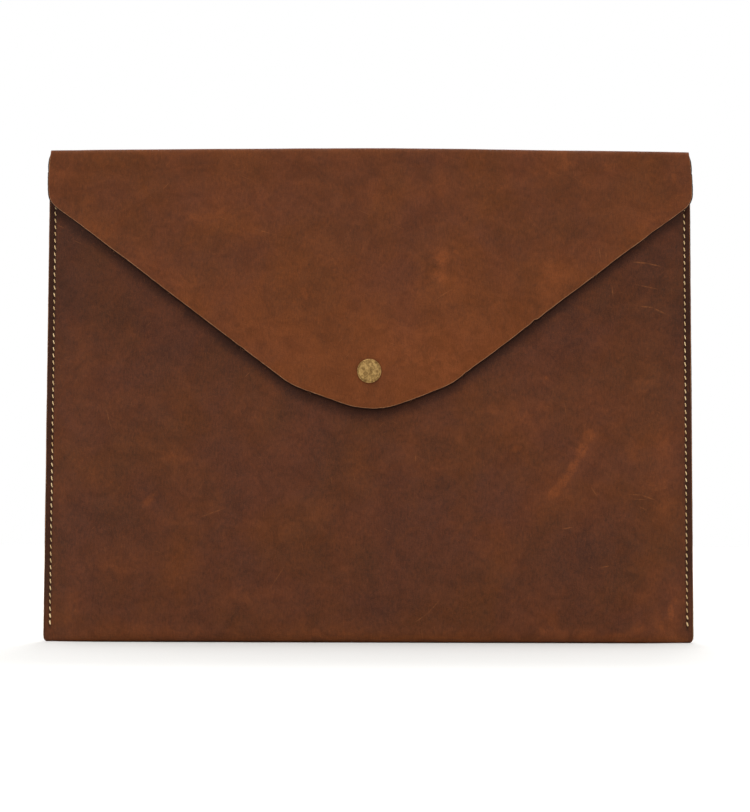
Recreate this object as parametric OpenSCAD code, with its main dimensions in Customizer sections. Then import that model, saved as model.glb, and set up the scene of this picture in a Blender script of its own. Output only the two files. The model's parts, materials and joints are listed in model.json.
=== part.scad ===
// Leather envelope sleeve for a large tablet.
// One hide is folded at the bottom into a shallow pouch, sewn up both
// sides, and carried over the top as a broad flap with a rounded point.
// The flap is held by a slim magnetic snap.
// Axes: +X across the sleeve, +Z up the sleeve, the flap faces -Y.

/* [Sleeve] */
// Width across the sewn edges
sleeve_w = 322; // [300:1:340]
// Height from the bottom fold to the top fold
sleeve_h = 245; // [236:1:260]
// Thickness of the leather
hide_t = 1.8; // [1.2:0.1:2.4]
// Depth of the space for the tablet
cavity_d = 8; // [7.6:0.1:12]
// Width of the sewn margin at each side
seam_w = 4.7; // [4:0.1:8]
// Distance from the top fold down to the edge of the pouch mouth
mouth_drop = 14.5; // [10:0.5:24]
// Outer radius where the front panel turns in to the sewn margin
panel_r = 4.5; // [3:0.1:6]
// Outer radius of the bottom fold
bottom_r = 4.5; // [3:0.1:5]

/* [Flap] */
// Gap between the flap and the front panel
flap_gap = 2.4; // [2.2:0.1:4]
// Outer radius of the two creases over the top
crease_r = 3; // [2.4:0.1:4]
// Half width of the flap at the top fold
flap_half_top = 158.5; // [150:0.5:161]
// Half width of the flap at its widest
flap_half_wide = 160; // [150:0.5:161]
// Height of the tip above the bottom fold
tip_z = 114.5; // [100:0.5:140]
// Slope of the long edges of the flap, in degrees
edge_slope = 37.3; // [34:0.1:38]
// Radius of the upper corners of the flap
corner_r = 9; // [5:0.5:12]
// Slope of the short edges beside the tip, in degrees
tip_slope = 20; // [12:0.5:24]
// Radius between the long edges and the short edges
shoulder_r = 52; // [40:1:60]
// Radius of the tip
tip_r = 42; // [30:1:50]

/* [Seams] */
// Distance between stitches
stitch_pitch = 3.4; // [3:0.1:5]
// Length of one stitch
stitch_len = 2.5; // [1.8:0.1:2.8]
// Diameter of the thread
thread_d = 0.8; // [0.5:0.05:1]
// Distance from the edge to the row of stitches
stitch_in = 2.7; // [2.2:0.1:3]
// Height of the first stitch above the bottom fold
stitch_z0 = 7.5; // [6:0.5:12]
// Slant of each stitch, in degrees
stitch_slant = 17; // [0:1:25]
// How far the thread stands proud of the leather on the front
thread_proud = 0.3; // [0.2:0.05:0.4]
// Width of the groove that the back row of stitches is pulled into
groove_w = 1.8; // [1.6:0.1:2.2]
// Depth of that groove
groove_d = 0.4; // [0.3:0.05:0.5]

/* [Snap] */
// Height of the snap above the tip
snap_above_tip = 19; // [14:0.5:30]
// Diameter of the two halves of the snap
snap_d = 14; // [12:0.5:18]
// Thickness of the socket half
socket_t = 1.5; // [1.4:0.1:1.6]
// Diameter of the socket hole
socket_hole_d = 7; // [6:0.1:7.4]
// Side clearance around the stud in the socket
stud_clear = 0.35; // [0.25:0.05:0.5]
// Clearance between the two closed halves
snap_clear = 0.15; // [0.1:0.05:0.3]
// Diameter of the outer rivet cap
cap_d = 12; // [9:0.5:14]
// Height of the outer rivet cap
cap_h = 1.6; // [1.2:0.1:2.4]
// Diameter of the rivet posts
post_d = 3; // [2.4:0.1:4]
// Diameter of the inner rivet head
head_d = 10; // [8:0.5:12]
// Thickness of the inner rivet head
head_t = 0.6; // [0.4:0.1:0.7]

/* [Hidden] */
$fn = 64;

half_w = sleeve_w / 2;
eps = 0.05;

// planes across the thickness, before centring
y_in_back = cavity_d / 2;
y_back = y_in_back + hide_t;
y_in_front = -cavity_d / 2;
y_front = y_in_front - hide_t;
y_flap_in = y_front - flap_gap;
y_flap = y_flap_in - hide_t;
y_margin = y_in_back - hide_t;

// the whole sleeve is centred between the rivet cap and the flat back
y_mid = ((y_flap - cap_h) + y_back) / 2;

wall_x = half_w - seam_w;           // outer face of the formed side wall
cav_x = wall_x - hide_t;            // half width of the space inside
mouth_z = sleeve_h - mouth_drop;
crease_z = sleeve_h - crease_r;     // level of the centres of the creases
crease_in = crease_r - hide_t;
snap_z = tip_z + snap_above_tip;

// rows of stitches
stitch_x = half_w - stitch_in;
stitch_n = floor((mouth_z - 3 - stitch_z0) / stitch_pitch);

module centred() { translate([0, -y_mid, 0]) children(); }

// a 2D outline drawn in (y, z), swept along x
module along_x(x0, x1) {
    translate([x0, 0, 0]) rotate([90, 0, 90]) linear_extrude(height = x1 - x0) children();
}

// a 2D outline drawn in (x, z), swept along y from y0 to y1
module along_y(y0, y1) {
    translate([0, y1, 0]) rotate([90, 0, 0]) linear_extrude(height = y1 - y0) children();
}

// part of a round crease: the ring between two angles about its centre
module crease_arc(cy, cz, a0, a1) {
    am = (a0 + a1) / 2;
    far = crease_r * 1.6;
    intersection() {
        translate([cy, cz]) difference() {
            circle(r = crease_r);
            circle(r = crease_in);
        }
        translate([cy, cz]) polygon([[0, 0],
            [far * cos(a0), far * sin(a0)],
            [far * 1.2 * cos(am), far * 1.2 * sin(am)],
            [far * cos(a1), far * sin(a1)]]);
    }
}

// points along an arc, from angle a0 to a1
function arc(cx, cy, r, a0, a1, n = 8) =
    [for (i = [0 : n]) let (a = a0 + (a1 - a0) * i / n) [cx + r * cos(a), cy + r * sin(a)]];

// outline of the pouch seen along its height: rounded front corners
function pouch_outline(hx, y0, y1, r) = concat(
    arc(-hx + r, y0 + r, r, 180, 270), arc(hx - r, y0 + r, r, 270, 360),
    [[hx, y1], [-hx, y1]]);

// outline of the bottom fold seen from the side: rounded lower corners
function fold_outline(y0, y1, z0, z1, r) = concat(
    arc(y0 + r, z0 + r, r, 180, 270), arc(y1 - r, z0 + r, r, 270, 360),
    [[y1, z1], [y0, z1]]);

// section of one border of the front panel: formed side wall and sewn margin
function border_section() = let (r = panel_r, q = panel_r - hide_t) concat(
    arc(wall_x - r, y_front + r, r, 270, 360),
    [[wall_x, y_margin], [half_w, y_margin], [half_w, y_in_back], [cav_x, y_in_back]],
    arc(cav_x - q, y_in_front + q, q, 360, 270));

// ---- the hide ----

module back_panel() {
    color([0.36, 0.21, 0.13]) centred() union() {
        difference() {
            // full width as far as the mouth, then narrowing to the top fold
            along_y(y_in_back, y_back)
                polygon([[-half_w, bottom_r], [half_w, bottom_r], [half_w, mouth_z],
                    [flap_half_top, crease_z], [-flap_half_top, crease_z], [-half_w, mouth_z]]);
            // grooves for the stitches
            for (s = [-1, 1])
                translate([s * stitch_x - groove_w / 2, y_back - groove_d, stitch_z0 - 0.5])
                    cube([groove_w, groove_d + 1, stitch_n * stitch_pitch + 1]);
        }
        // lower half of the back crease
        along_x(-flap_half_top, flap_half_top)
            crease_arc(y_back - crease_r, crease_z, 0, 45);
    }
}

module front_panel() {
    color([0.37, 0.21, 0.13]) centred() difference() {
        translate([-wall_x + panel_r, y_front, bottom_r])
            cube([2 * (wall_x - panel_r), hide_t, mouth_z - bottom_r]);
        // hole for the rivet of the snap
        translate([0, y_front - 1, snap_z]) rotate([-90, 0, 0]) cylinder(d = post_d, h = hide_t + 2);
    }
}

// the front panel turned back and down on to the back panel at each side
module front_border() {
    color([0.38, 0.22, 0.13]) centred()
        translate([0, 0, bottom_r]) linear_extrude(height = mouth_z - bottom_r)
            polygon(border_section());
}

module front_border_left() { mirror([1, 0, 0]) front_border(); }
module front_border_right() { front_border(); }

module bottom_fold() {
    r_in = bottom_r - hide_t;
    color([0.36, 0.20, 0.11]) centred() union() {
        difference() {
            // outside of the fold, with the rounded corners of the pouch
            intersection() {
                along_x(-wall_x, wall_x)
                    polygon(fold_outline(y_front, y_back, 0, bottom_r, bottom_r));
                translate([0, 0, -1]) linear_extrude(height = bottom_r + 2)
                    polygon(pouch_outline(wall_x, y_front, y_back + 1, panel_r));
            }
            // space inside the fold
            intersection() {
                along_x(-cav_x, cav_x)
                    polygon(fold_outline(y_in_front, y_in_back, hide_t, bottom_r + 1, r_in));
                translate([0, 0, -1]) linear_extrude(height = bottom_r + 4)
                    polygon(pouch_outline(cav_x, y_in_front, y_back + 1, panel_r - hide_t));
            }
        }
        // ends of the fold, pinched flat in the sewn margins
        for (s = [-1, 1]) scale_x(s) along_x(wall_x - eps, half_w)
            polygon(concat(arc(y_in_back, hide_t, hide_t, 180, 360),
                [[y_back, bottom_r], [y_margin, bottom_r]]));
    }
}

module scale_x(s) { if (s < 0) mirror([1, 0, 0]) children(); else children(); }

module flap_fold() {
    color([0.46, 0.27, 0.16]) centred()
        along_x(-flap_half_top, flap_half_top) union() {
            crease_arc(y_back - crease_r, crease_z, 45, 90);
            translate([y_flap + crease_r, sleeve_h - hide_t])
                square([y_back - y_flap - 2 * crease_r, hide_t]);
            crease_arc(y_flap + crease_r, crease_z, 90, 135);
        }
}

// right-hand edge of the flap, from the top fold down to the tip
tip_x1 = tip_r * sin(tip_slope);
tip_z1 = tip_z + tip_r * (1 - cos(tip_slope));
short_dx = 17;
sh_x0 = tip_x1 + short_dx;
sh_z0 = tip_z1 + short_dx * tan(tip_slope);
sh_cx = sh_x0 - shoulder_r * sin(tip_slope);
sh_cz = sh_z0 + shoulder_r * cos(tip_slope);
sh_x1 = sh_cx + shoulder_r * sin(edge_slope);
sh_z1 = sh_cz - shoulder_r * cos(edge_slope);
// the corner arc ends on the long edge and starts on the side edge
co_cx = flap_half_wide - corner_r;
co_x1 = co_cx + corner_r * sin(edge_slope);
co_z1 = sh_z1 + (co_x1 - sh_x1) * tan(edge_slope);
co_cz = co_z1 + corner_r * cos(edge_slope);

flap_edge = concat(
    [for (i = [0 : 7]) let (a = tip_slope * i / 7)
        [tip_r * sin(a), tip_z + tip_r * (1 - cos(a))]],
    [for (i = [0 : 7]) let (a = tip_slope + (edge_slope - tip_slope) * i / 7)
        [sh_cx + shoulder_r * sin(a), sh_cz - shoulder_r * cos(a)]],
    [for (i = [0 : 7]) let (a = edge_slope + (90 - edge_slope) * i / 7)
        [co_cx + corner_r * sin(a), co_cz - corner_r * cos(a)]],
    [[flap_half_top, crease_z]]);

module flap() {
    color([0.44, 0.25, 0.15]) centred() union() {
        difference() {
            along_y(y_flap, y_flap_in)
                polygon(concat(flap_edge,
                    [for (i = [len(flap_edge) - 1 : -1 : 1]) [-flap_edge[i][0], flap_edge[i][1]]]));
            // hole for the rivet of the snap
            translate([0, y_flap - 1, snap_z]) rotate([-90, 0, 0]) cylinder(d = post_d, h = hide_t + 2);
        }
        // lower half of the front crease
        along_x(-flap_half_top, flap_half_top)
            crease_arc(y_flap + crease_r, crease_z, 135, 180);
    }
}

// ---- the seams ----

// one row of stitches on a face whose outward side is out (-1 front, 1 back)
module stitch_row(side, y_face, out, proud) {
    y_axis = y_face + out * (proud - thread_d / 2);
    for (i = [0 : stitch_n - 1])
        translate([side * stitch_x, y_axis, stitch_z0 + (i + 0.5) * stitch_pitch])
            rotate([0, -stitch_slant * -out, 0])
                cylinder(d = thread_d, h = stitch_len, center = true, $fn = 20);
}

module thread_front_left() { color([0.78, 0.62, 0.42]) centred() stitch_row(-1, y_margin, -1, thread_proud); }
module thread_front_right() { color([0.78, 0.62, 0.42]) centred() stitch_row(1, y_margin, -1, thread_proud); }
module thread_back_left() { color([0.75, 0.58, 0.38]) centred() stitch_row(-1, y_back, 1, 0); }
module thread_back_right() { color([0.75, 0.58, 0.38]) centred() stitch_row(1, y_back, 1, 0); }

// ---- the snap ----

// a round part drawn as (radius, y) and turned about the snap's axis
module snap_turn() {
    translate([0, 0, snap_z]) rotate([-90, 0, 0]) rotate_extrude() children();
}

plate_t = flap_gap - socket_t - snap_clear;
stud_r = socket_hole_d / 2 - stud_clear;
post_r = post_d / 2;

// outer cap with its post through the flap
cap_rise = cap_h - 0.5;
dome_r = (cap_d * cap_d / 4 + cap_rise * cap_rise) / (2 * cap_rise);
dome_a = asin(cap_d / 2 / dome_r);
cap_profile = concat([[0, y_flap], [0, y_flap - cap_h]],
    [for (i = [1 : 8]) let (a = dome_a * i / 8)
        [dome_r * sin(a), y_flap - cap_h + dome_r * (1 - cos(a))]],
    [[cap_d / 2, y_flap]]);
module snap_cap() {
    color([0.60, 0.47, 0.27]) centred() snap_turn() union() {
        polygon(cap_profile);
        translate([0, y_flap - eps]) square([post_r - 0.4, hide_t + eps]);
    }
}

// stud half on the inside of the flap
module snap_stud() {
    color([0.62, 0.50, 0.30]) centred() snap_turn() union() {
        translate([0, y_flap_in]) square([snap_d / 2, plate_t]);
        translate([0, y_flap_in + plate_t - eps]) square([stud_r, 0.9 + eps]);
        // ferrule around the post
        difference() {
            translate([0, y_flap_in - hide_t]) square([post_r, hide_t + eps]);
            translate([0, y_flap_in - hide_t - 1]) square([post_r - 0.4, hide_t + 1]);
        }
    }
}

// socket half on the outside of the front panel, hollow for its magnet
module snap_socket() {
    color([0.62, 0.50, 0.30]) centred() snap_turn() difference() {
        translate([socket_hole_d / 2, y_front - socket_t]) square([(snap_d - socket_hole_d) / 2, socket_t]);
        translate([socket_hole_d / 2 + 0.3, y_front - socket_t + 0.3])
            square([(snap_d - socket_hole_d) / 2 - 0.6, socket_t - 0.6]);
    }
}

module snap_magnet() {
    color([0.35, 0.35, 0.36]) centred() snap_turn()
        translate([socket_hole_d / 2 + 0.35, y_front - socket_t + 0.35])
            square([(snap_d - socket_hole_d) / 2 - 0.7, socket_t - 0.7]);
}

// base plate, post and inner head that clamp the socket to the front panel
module snap_rivet() {
    color([0.58, 0.46, 0.27]) centred() snap_turn() union() {
        translate([0, y_front - 0.3]) square([socket_hole_d / 2, 0.3]);
        translate([0, y_front - 0.1]) square([post_r, hide_t + 0.2]);
        translate([0, y_in_front]) square([head_d / 2, head_t]);
    }
}

back_panel();
front_panel();
front_border_left();
front_border_right();
bottom_fold();
flap_fold();
flap();
thread_front_left();
thread_front_right();
thread_back_left();
thread_back_right();
snap_cap();
snap_stud();
snap_socket();
snap_magnet();
snap_rivet();
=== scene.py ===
import json
import math

import bpy
import numpy as np
from mathutils import Matrix, Vector


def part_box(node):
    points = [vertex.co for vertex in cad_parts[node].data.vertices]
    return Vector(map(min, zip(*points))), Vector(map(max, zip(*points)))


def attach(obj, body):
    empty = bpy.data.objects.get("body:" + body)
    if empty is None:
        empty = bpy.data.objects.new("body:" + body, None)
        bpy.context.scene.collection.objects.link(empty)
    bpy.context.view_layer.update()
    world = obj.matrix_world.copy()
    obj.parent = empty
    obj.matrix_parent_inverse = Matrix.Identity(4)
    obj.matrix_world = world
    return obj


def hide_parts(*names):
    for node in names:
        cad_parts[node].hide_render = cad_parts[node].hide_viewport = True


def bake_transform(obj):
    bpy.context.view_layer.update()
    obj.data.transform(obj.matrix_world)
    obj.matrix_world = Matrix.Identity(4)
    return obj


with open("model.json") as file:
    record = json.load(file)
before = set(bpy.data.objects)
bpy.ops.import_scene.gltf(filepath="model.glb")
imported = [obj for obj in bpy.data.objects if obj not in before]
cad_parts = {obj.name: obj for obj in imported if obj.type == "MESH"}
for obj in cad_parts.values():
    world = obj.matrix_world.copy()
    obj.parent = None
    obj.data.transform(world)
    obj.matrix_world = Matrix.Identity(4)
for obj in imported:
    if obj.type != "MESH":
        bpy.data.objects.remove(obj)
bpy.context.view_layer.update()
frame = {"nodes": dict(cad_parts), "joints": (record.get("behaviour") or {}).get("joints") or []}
MM = 0.001

# ---------------------------------------------------------------- sizes, in mm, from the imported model


def cad(node):
    lo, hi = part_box(node)
    return np.array(lo) * 1000.0, np.array(hi) * 1000.0


_lo, _hi = cad("front_panel")
T = float(_hi[1] - _lo[1])  # thickness of the hide
Y_FRONT = float(_lo[1])  # outer face of the front panel
MOUTH_Z = float(_hi[2])
BOT_Z = float(_lo[2])
_lo, _hi = cad("back_panel")
Y_BACK = float(_hi[1])
HALF_W = float(_hi[0])
_lo, _hi = cad("flap_fold")
Z_TOP = float(_hi[2])
FOLD_HALF = float(_hi[0])
_lo, _hi = cad("flap")
Y_FLAP = float(_lo[1])
FLAP_HALF = float(_hi[0])
TIP_Z = float(_lo[2])
_lo, _hi = cad("snap_cap")
SNAP_Z = float(_lo[2] + _hi[2]) / 2
CAP_R = float(_hi[2] - _lo[2]) / 2
CAP_Y = float(_lo[1])
_lo, _hi = cad("snap_stud")
STUD_R = float(_hi[2] - _lo[2]) / 2
STUD_Y1 = float(_hi[1])
_lo, _hi = cad("snap_socket")
SOCK_R = float(_hi[2] - _lo[2]) / 2
SOCK_Y0 = float(_lo[1])
_lo, _hi = cad("snap_rivet")
HEAD_R = float(_hi[2] - _lo[2]) / 2
HEAD_Y1 = float(_hi[1])
Y_MARGIN = Y_BACK - 2 * T  # front face of the sewn margins
CREASE_R = 2.4
STITCH_X = HALF_W - 3.35
STITCH_Z0 = 7.5
PITCH = 3.4
N_STITCH = 64
SOCKET_HOLE_R = 3.5
PLATE_T = 0.75

# ---------------------------------------------------------------- small maths

_tables = {}


def vnoise(x, y, size, seed):
    """Smooth value noise in -1..1 with features about size across."""
    if seed not in _tables:
        _tables[seed] = np.random.RandomState(seed).uniform(-1, 1, (256, 256))
    t = _tables[seed]
    u, v = np.asarray(x, float) / size + 57.31, np.asarray(y, float) / size + 91.77
    iu, iv = np.floor(u).astype(int), np.floor(v).astype(int)
    fu, fv = u - iu, v - iv
    fu = fu * fu * fu * (fu * (fu * 6 - 15) + 10)
    fv = fv * fv * fv * (fv * (fv * 6 - 15) + 10)
    a, b = t[iu % 256, iv % 256], t[(iu + 1) % 256, iv % 256]
    c, d = t[iu % 256, (iv + 1) % 256], t[(iu + 1) % 256, (iv + 1) % 256]
    return (a * (1 - fu) + b * fu) * (1 - fv) + (c * (1 - fu) + d * fu) * fv


def fbm(x, y, size, seed, octaves=3, gain=0.5):
    out, amp, total = 0.0, 1.0, 0.0
    for k in range(octaves):
        out = out + amp * vnoise(x, y, size / 2**k, seed + k)
        total += amp
        amp *= gain
    return out / total


def sstep(a, b, x):
    t = np.clip((np.asarray(x, float) - a) / (b - a), 0, 1)
    return t * t * (3 - 2 * t)


def unit(v):
    return v / np.maximum(np.linalg.norm(v, axis=-1, keepdims=True), 1e-12)


# ---------------------------------------------------------------- the shape of the hide


def pillow(x):
    """0 in the sewn margin, 1 where the front panel stands at its full depth."""
    d = HALF_W - np.abs(x)
    r = np.logaddexp(0, (d - 5.0) / 1.1) * 1.1
    return np.sin(np.pi / 2 * np.clip(r / 31.0, 0, 1))


Y_MARGIN_MID = Y_MARGIN + T / 2
Y_FRONT_MID = Y_FRONT + T / 2
Y_BACK_MID = Y_BACK - T / 2
Y_FLAP_MID = Y_FLAP + T / 2


def front_mid_y(x, z):
    """Middle of the front panel's thickness."""
    s = pillow(x)
    # the mouth and the foot are drawn in a little between the sides and the middle
    ease = 1 - 0.10 * sstep(60, 0, z) * (1 - sstep(20, 90, np.abs(x) * 0 + (HALF_W - np.abs(x))))
    wav = 0.22 * fbm(x, z, 62, 11, 3) * sstep(4.5, 16, HALF_W - np.abs(x)) * sstep(9, 17, np.hypot(x, z - SNAP_Z))
    return Y_MARGIN_MID + (Y_FRONT_MID - Y_MARGIN_MID) * s * ease + wav


def back_mid_y(x, z):
    wav = -0.16 * (0.5 + 0.5 * fbm(x, z, 70, 21, 3)) * sstep(5, 18, HALF_W - np.abs(x))
    return Y_BACK_MID + wav * sstep(242, 225, z) * sstep(6, 20, z)


def arch(x):
    """The top fold sits a little lower towards its ends."""
    return 1.5 * (np.abs(x) / FOLD_HALF) ** 1.35


def crease_wave(x):
    return 0.10 * vnoise(x, 0 * x, 24, 31)


def edge_wave(z, seed, amp=0.22):
    z = np.asarray(z, float)
    return amp * (0.7 * vnoise(z, 0 * z + seed, 23, seed) + 0.3 * vnoise(z, 0 * z + seed, 5.5, seed + 1))


def bottom_corner(z, r=1.5):
    """How far the cut edge is drawn in at the rounded bottom corner."""
    zz = np.clip(r - z, 0, r)
    return r - np.sqrt(np.maximum(r * r - zz * zz, 0))


# columns shared by the front and the back: dense around the stitches
_near = np.array([0.0, 0.5, 1.1, 1.7, 2.2, 2.7, 3.05, 3.35, 3.65, 4.0, 4.35, 4.75, 5.2, 6.2, 7.6, 9.5, 11.8, 14.4])
_mid = np.linspace(-(HALF_W - 16.6), HALF_W - 16.6, 113)
COLS = np.concatenate([-(HALF_W - _near), _mid, (HALF_W - _near)[::-1]])

# rows, from the mouth down to the stitches' first hole: five to each stitch
_holes = STITCH_Z0 + PITCH * np.arange(N_STITCH + 1)
_rows = []
for h in _holes:
    _rows += [h, h + 0.45, h + 1.2, h + 2.2, h + 2.95]
_rows = [z for z in _rows if z < MOUTH_Z - 0.6]
ROWS_FRONT = np.array(sorted(_rows + [MOUTH_Z]))[::-1]
ROWS_BACK = np.array(sorted(_rows + list(np.linspace(MOUTH_Z, Z_TOP - CREASE_R, 9))))

# ---------------------------------------------------------------- building a slab of leather


class Slab:
    """A sheet with a grain side, a flesh side and cut edges, made from the middle surface P (rows, columns, xyz in mm)."""

    PROFILE = [(0.97, 0.10), (0.86, 0.20), (0.60, 0.24), (0.0, 0.25), (-0.60, 0.23), (-0.86, 0.18), (-0.97, 0.09)]
    BEVEL = [(0.99, 0.06), (0.88, 0.15), (0.62, 0.26), (0.28, 0.38), (0.0, 0.50), (-0.28, 0.68), (-0.58, 0.88), (-0.84, 0.90), (-0.98, 0.45)]

    def __init__(self, name, P, S, grain_sign, lift=None, rims=(), caps=(), paint=None, seed=1, ragged=0.05, profile=None, rim_stain_and_shadow=0.5, taper=0):
        profile = profile or self.PROFILE
        nv, nu, _ = P.shape
        du, dv = np.empty_like(P), np.empty_like(P)
        du[:, 1:-1] = P[:, 2:] - P[:, :-2]
        du[:, 0], du[:, -1] = P[:, 1] - P[:, 0], P[:, -1] - P[:, -2]
        dv[1:-1] = P[2:] - P[:-2]
        dv[0], dv[-1] = P[1] - P[0], P[-1] - P[-2]
        n = unit(np.cross(du, dv)) * grain_sign
        lift = np.zeros((nv, nu)) if lift is None else lift
        outer = P + n * (T / 2 + lift)[..., None]
        inner = P - n * (T / 2)
        co = [outer.reshape(-1, 3), inner.reshape(-1, 3)]
        hide = np.stack([P[..., 0], S, np.zeros_like(S)], -1)
        hin = hide.copy()
        hin[..., 2] = T
        hc = [hide.reshape(-1, 3), hin.reshape(-1, 3)]
        pt = paint.reshape(-1, paint.shape[-1])
        pts = [pt, pt.copy()]
        O = np.arange(nv * nu).reshape(nv, nu)
        I = O + nv * nu
        faces, mats, flat = [], [], []

        def quads(a, b, c, d, m, is_flat=False):
            q = np.stack([a.ravel(), b.ravel(), c.ravel(), d.ravel()], 1)
            faces.extend(q.tolist())
            mats.extend([m] * len(q))
            flat.extend([is_flat] * len(q))

        quads(O[:-1, :-1], O[:-1, 1:], O[1:, 1:], O[1:, :-1], 0)
        quads(I[:-1, :-1], I[1:, :-1], I[1:, 1:], I[:-1, 1:], 1)
        base = 2 * nv * nu
        ends = {}
        rng = np.random.RandomState(seed)
        for chain in rims:
            idx, inside = [], []
            for (v, u, iv, iu) in chain:
                idx.append((v, u))
                inside.append((iv, iu))
            vi = np.array([a[0] for a in idx])
            ui = np.array([a[1] for a in idx])
            C, Nn = P[vi, ui], n[vi, ui]
            L = lift[vi, ui]
            Q = P[np.array([a[0] for a in inside]), np.array([a[1] for a in inside])]
            t = np.empty_like(C)
            t[1:-1] = unit(unit(C[2:] - C[1:-1]) + unit(C[1:-1] - C[:-2]))
            t[0], t[-1] = unit(C[1] - C[0]), unit(C[-1] - C[-2])
            o = unit(np.cross(t, Nn))
            flip = np.sign(np.sum(o * (C - Q), -1))
            flip[flip == 0] = 1
            o = o * flip[:, None]
            arc = np.concatenate([[0], np.cumsum(np.linalg.norm(np.diff(C, axis=0), axis=1))])
            k = len(idx)
            if taper:
                near_end = np.minimum(np.arange(k), np.arange(k)[::-1])
                grow = 0.30 + 0.70 * sstep(8, taper, near_end)
            else:
                grow = np.ones(k)
            rows = []
            for j, (a, b) in enumerate(profile):
                wob = ragged * (vnoise(arc, 0 * arc + 13 * j, 1.1, seed + 3) + 0.6 * vnoise(arc, 0 * arc + 5 * j, 0.5, seed + 4))
                half = T / 2 + (L if a > 0 else 0 * L)
                V = C + Nn * (half * a)[:, None] + o * ((b + wob * (1 - 0.5 * abs(a))) * grow)[:, None]
                co.append(V)
                h = np.stack([C[:, 0] + o[:, 0] * b, S[vi, ui], (1 - a) * T / 2 * np.ones(k)], -1)
                hc.append(h)
                rim_paint = paint[vi, ui].copy()
                rim_paint[:, 3] = 0.5 + (rim_stain_and_shadow - 0.5) * (grow - 0.30) / 0.70
                pts.append(rim_paint)
                rows.append(base + np.arange(k))
                base += k
            ring = [O[vi, ui]] + rows + [I[vi, ui]]
            for a, b in zip(ring[:-1], ring[1:]):
                q = np.stack([a[:-1], a[1:], b[1:], b[:-1]], 1)
                faces.extend(q.tolist())
                m = 2
                mats.extend([m] * len(q))
                flat.extend([False] * len(q))
            ends[idx[0]] = [r[0] for r in rows]
            ends[idx[-1]] = [r[-1] for r in rows]
        for v in caps:
            quads(O[v, :-1], O[v, 1:], I[v, 1:], I[v, :-1], 2, True)
            for u in (0, nu - 1):
                if (v, u) in ends:
                    faces.append([int(O[v, u])] + [int(r) for r in ends[(v, u)]] + [int(I[v, u])])
                    mats.append(2)
                    flat.append(True)
        co = np.concatenate(co) * MM
        me = bpy.data.meshes.new(name)
        me.from_pydata(co.tolist(), [], faces)
        me.polygons.foreach_set("material_index", np.array(mats, np.int32))
        me.polygons.foreach_set("use_smooth", ~np.array(flat, bool))
        att = me.attributes.new("hide_co", "FLOAT_VECTOR", "POINT")
        att.data.foreach_set("vector", (np.concatenate(hc) * MM).astype(np.float32).ravel())
        pts = np.concatenate(pts)
        for i, key in enumerate(PAINTS):
            a = me.attributes.new(key, "FLOAT", "POINT")
            a.data.foreach_set("value", np.ascontiguousarray(pts[:, i]).astype(np.float32))
        me.validate()
        me.update()
        import bmesh

        bm = bmesh.new()
        bm.from_mesh(me)
        bmesh.ops.recalc_face_normals(bm, faces=bm.faces)
        for f in bm.faces:
            if not f.smooth:
                for e in f.edges:
                    e.smooth = False
        bm.to_mesh(me)
        bm.free()
        me.update()
        self.obj = bpy.data.objects.new(name, me)
        bpy.context.scene.collection.objects.link(self.obj)
        for m in (GRAIN, FLESH, RAW):
            me.materials.append(m)


PAINTS = ("tone", "pull", "fold", "edge")

# ---------------------------------------------------------------- materials


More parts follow.
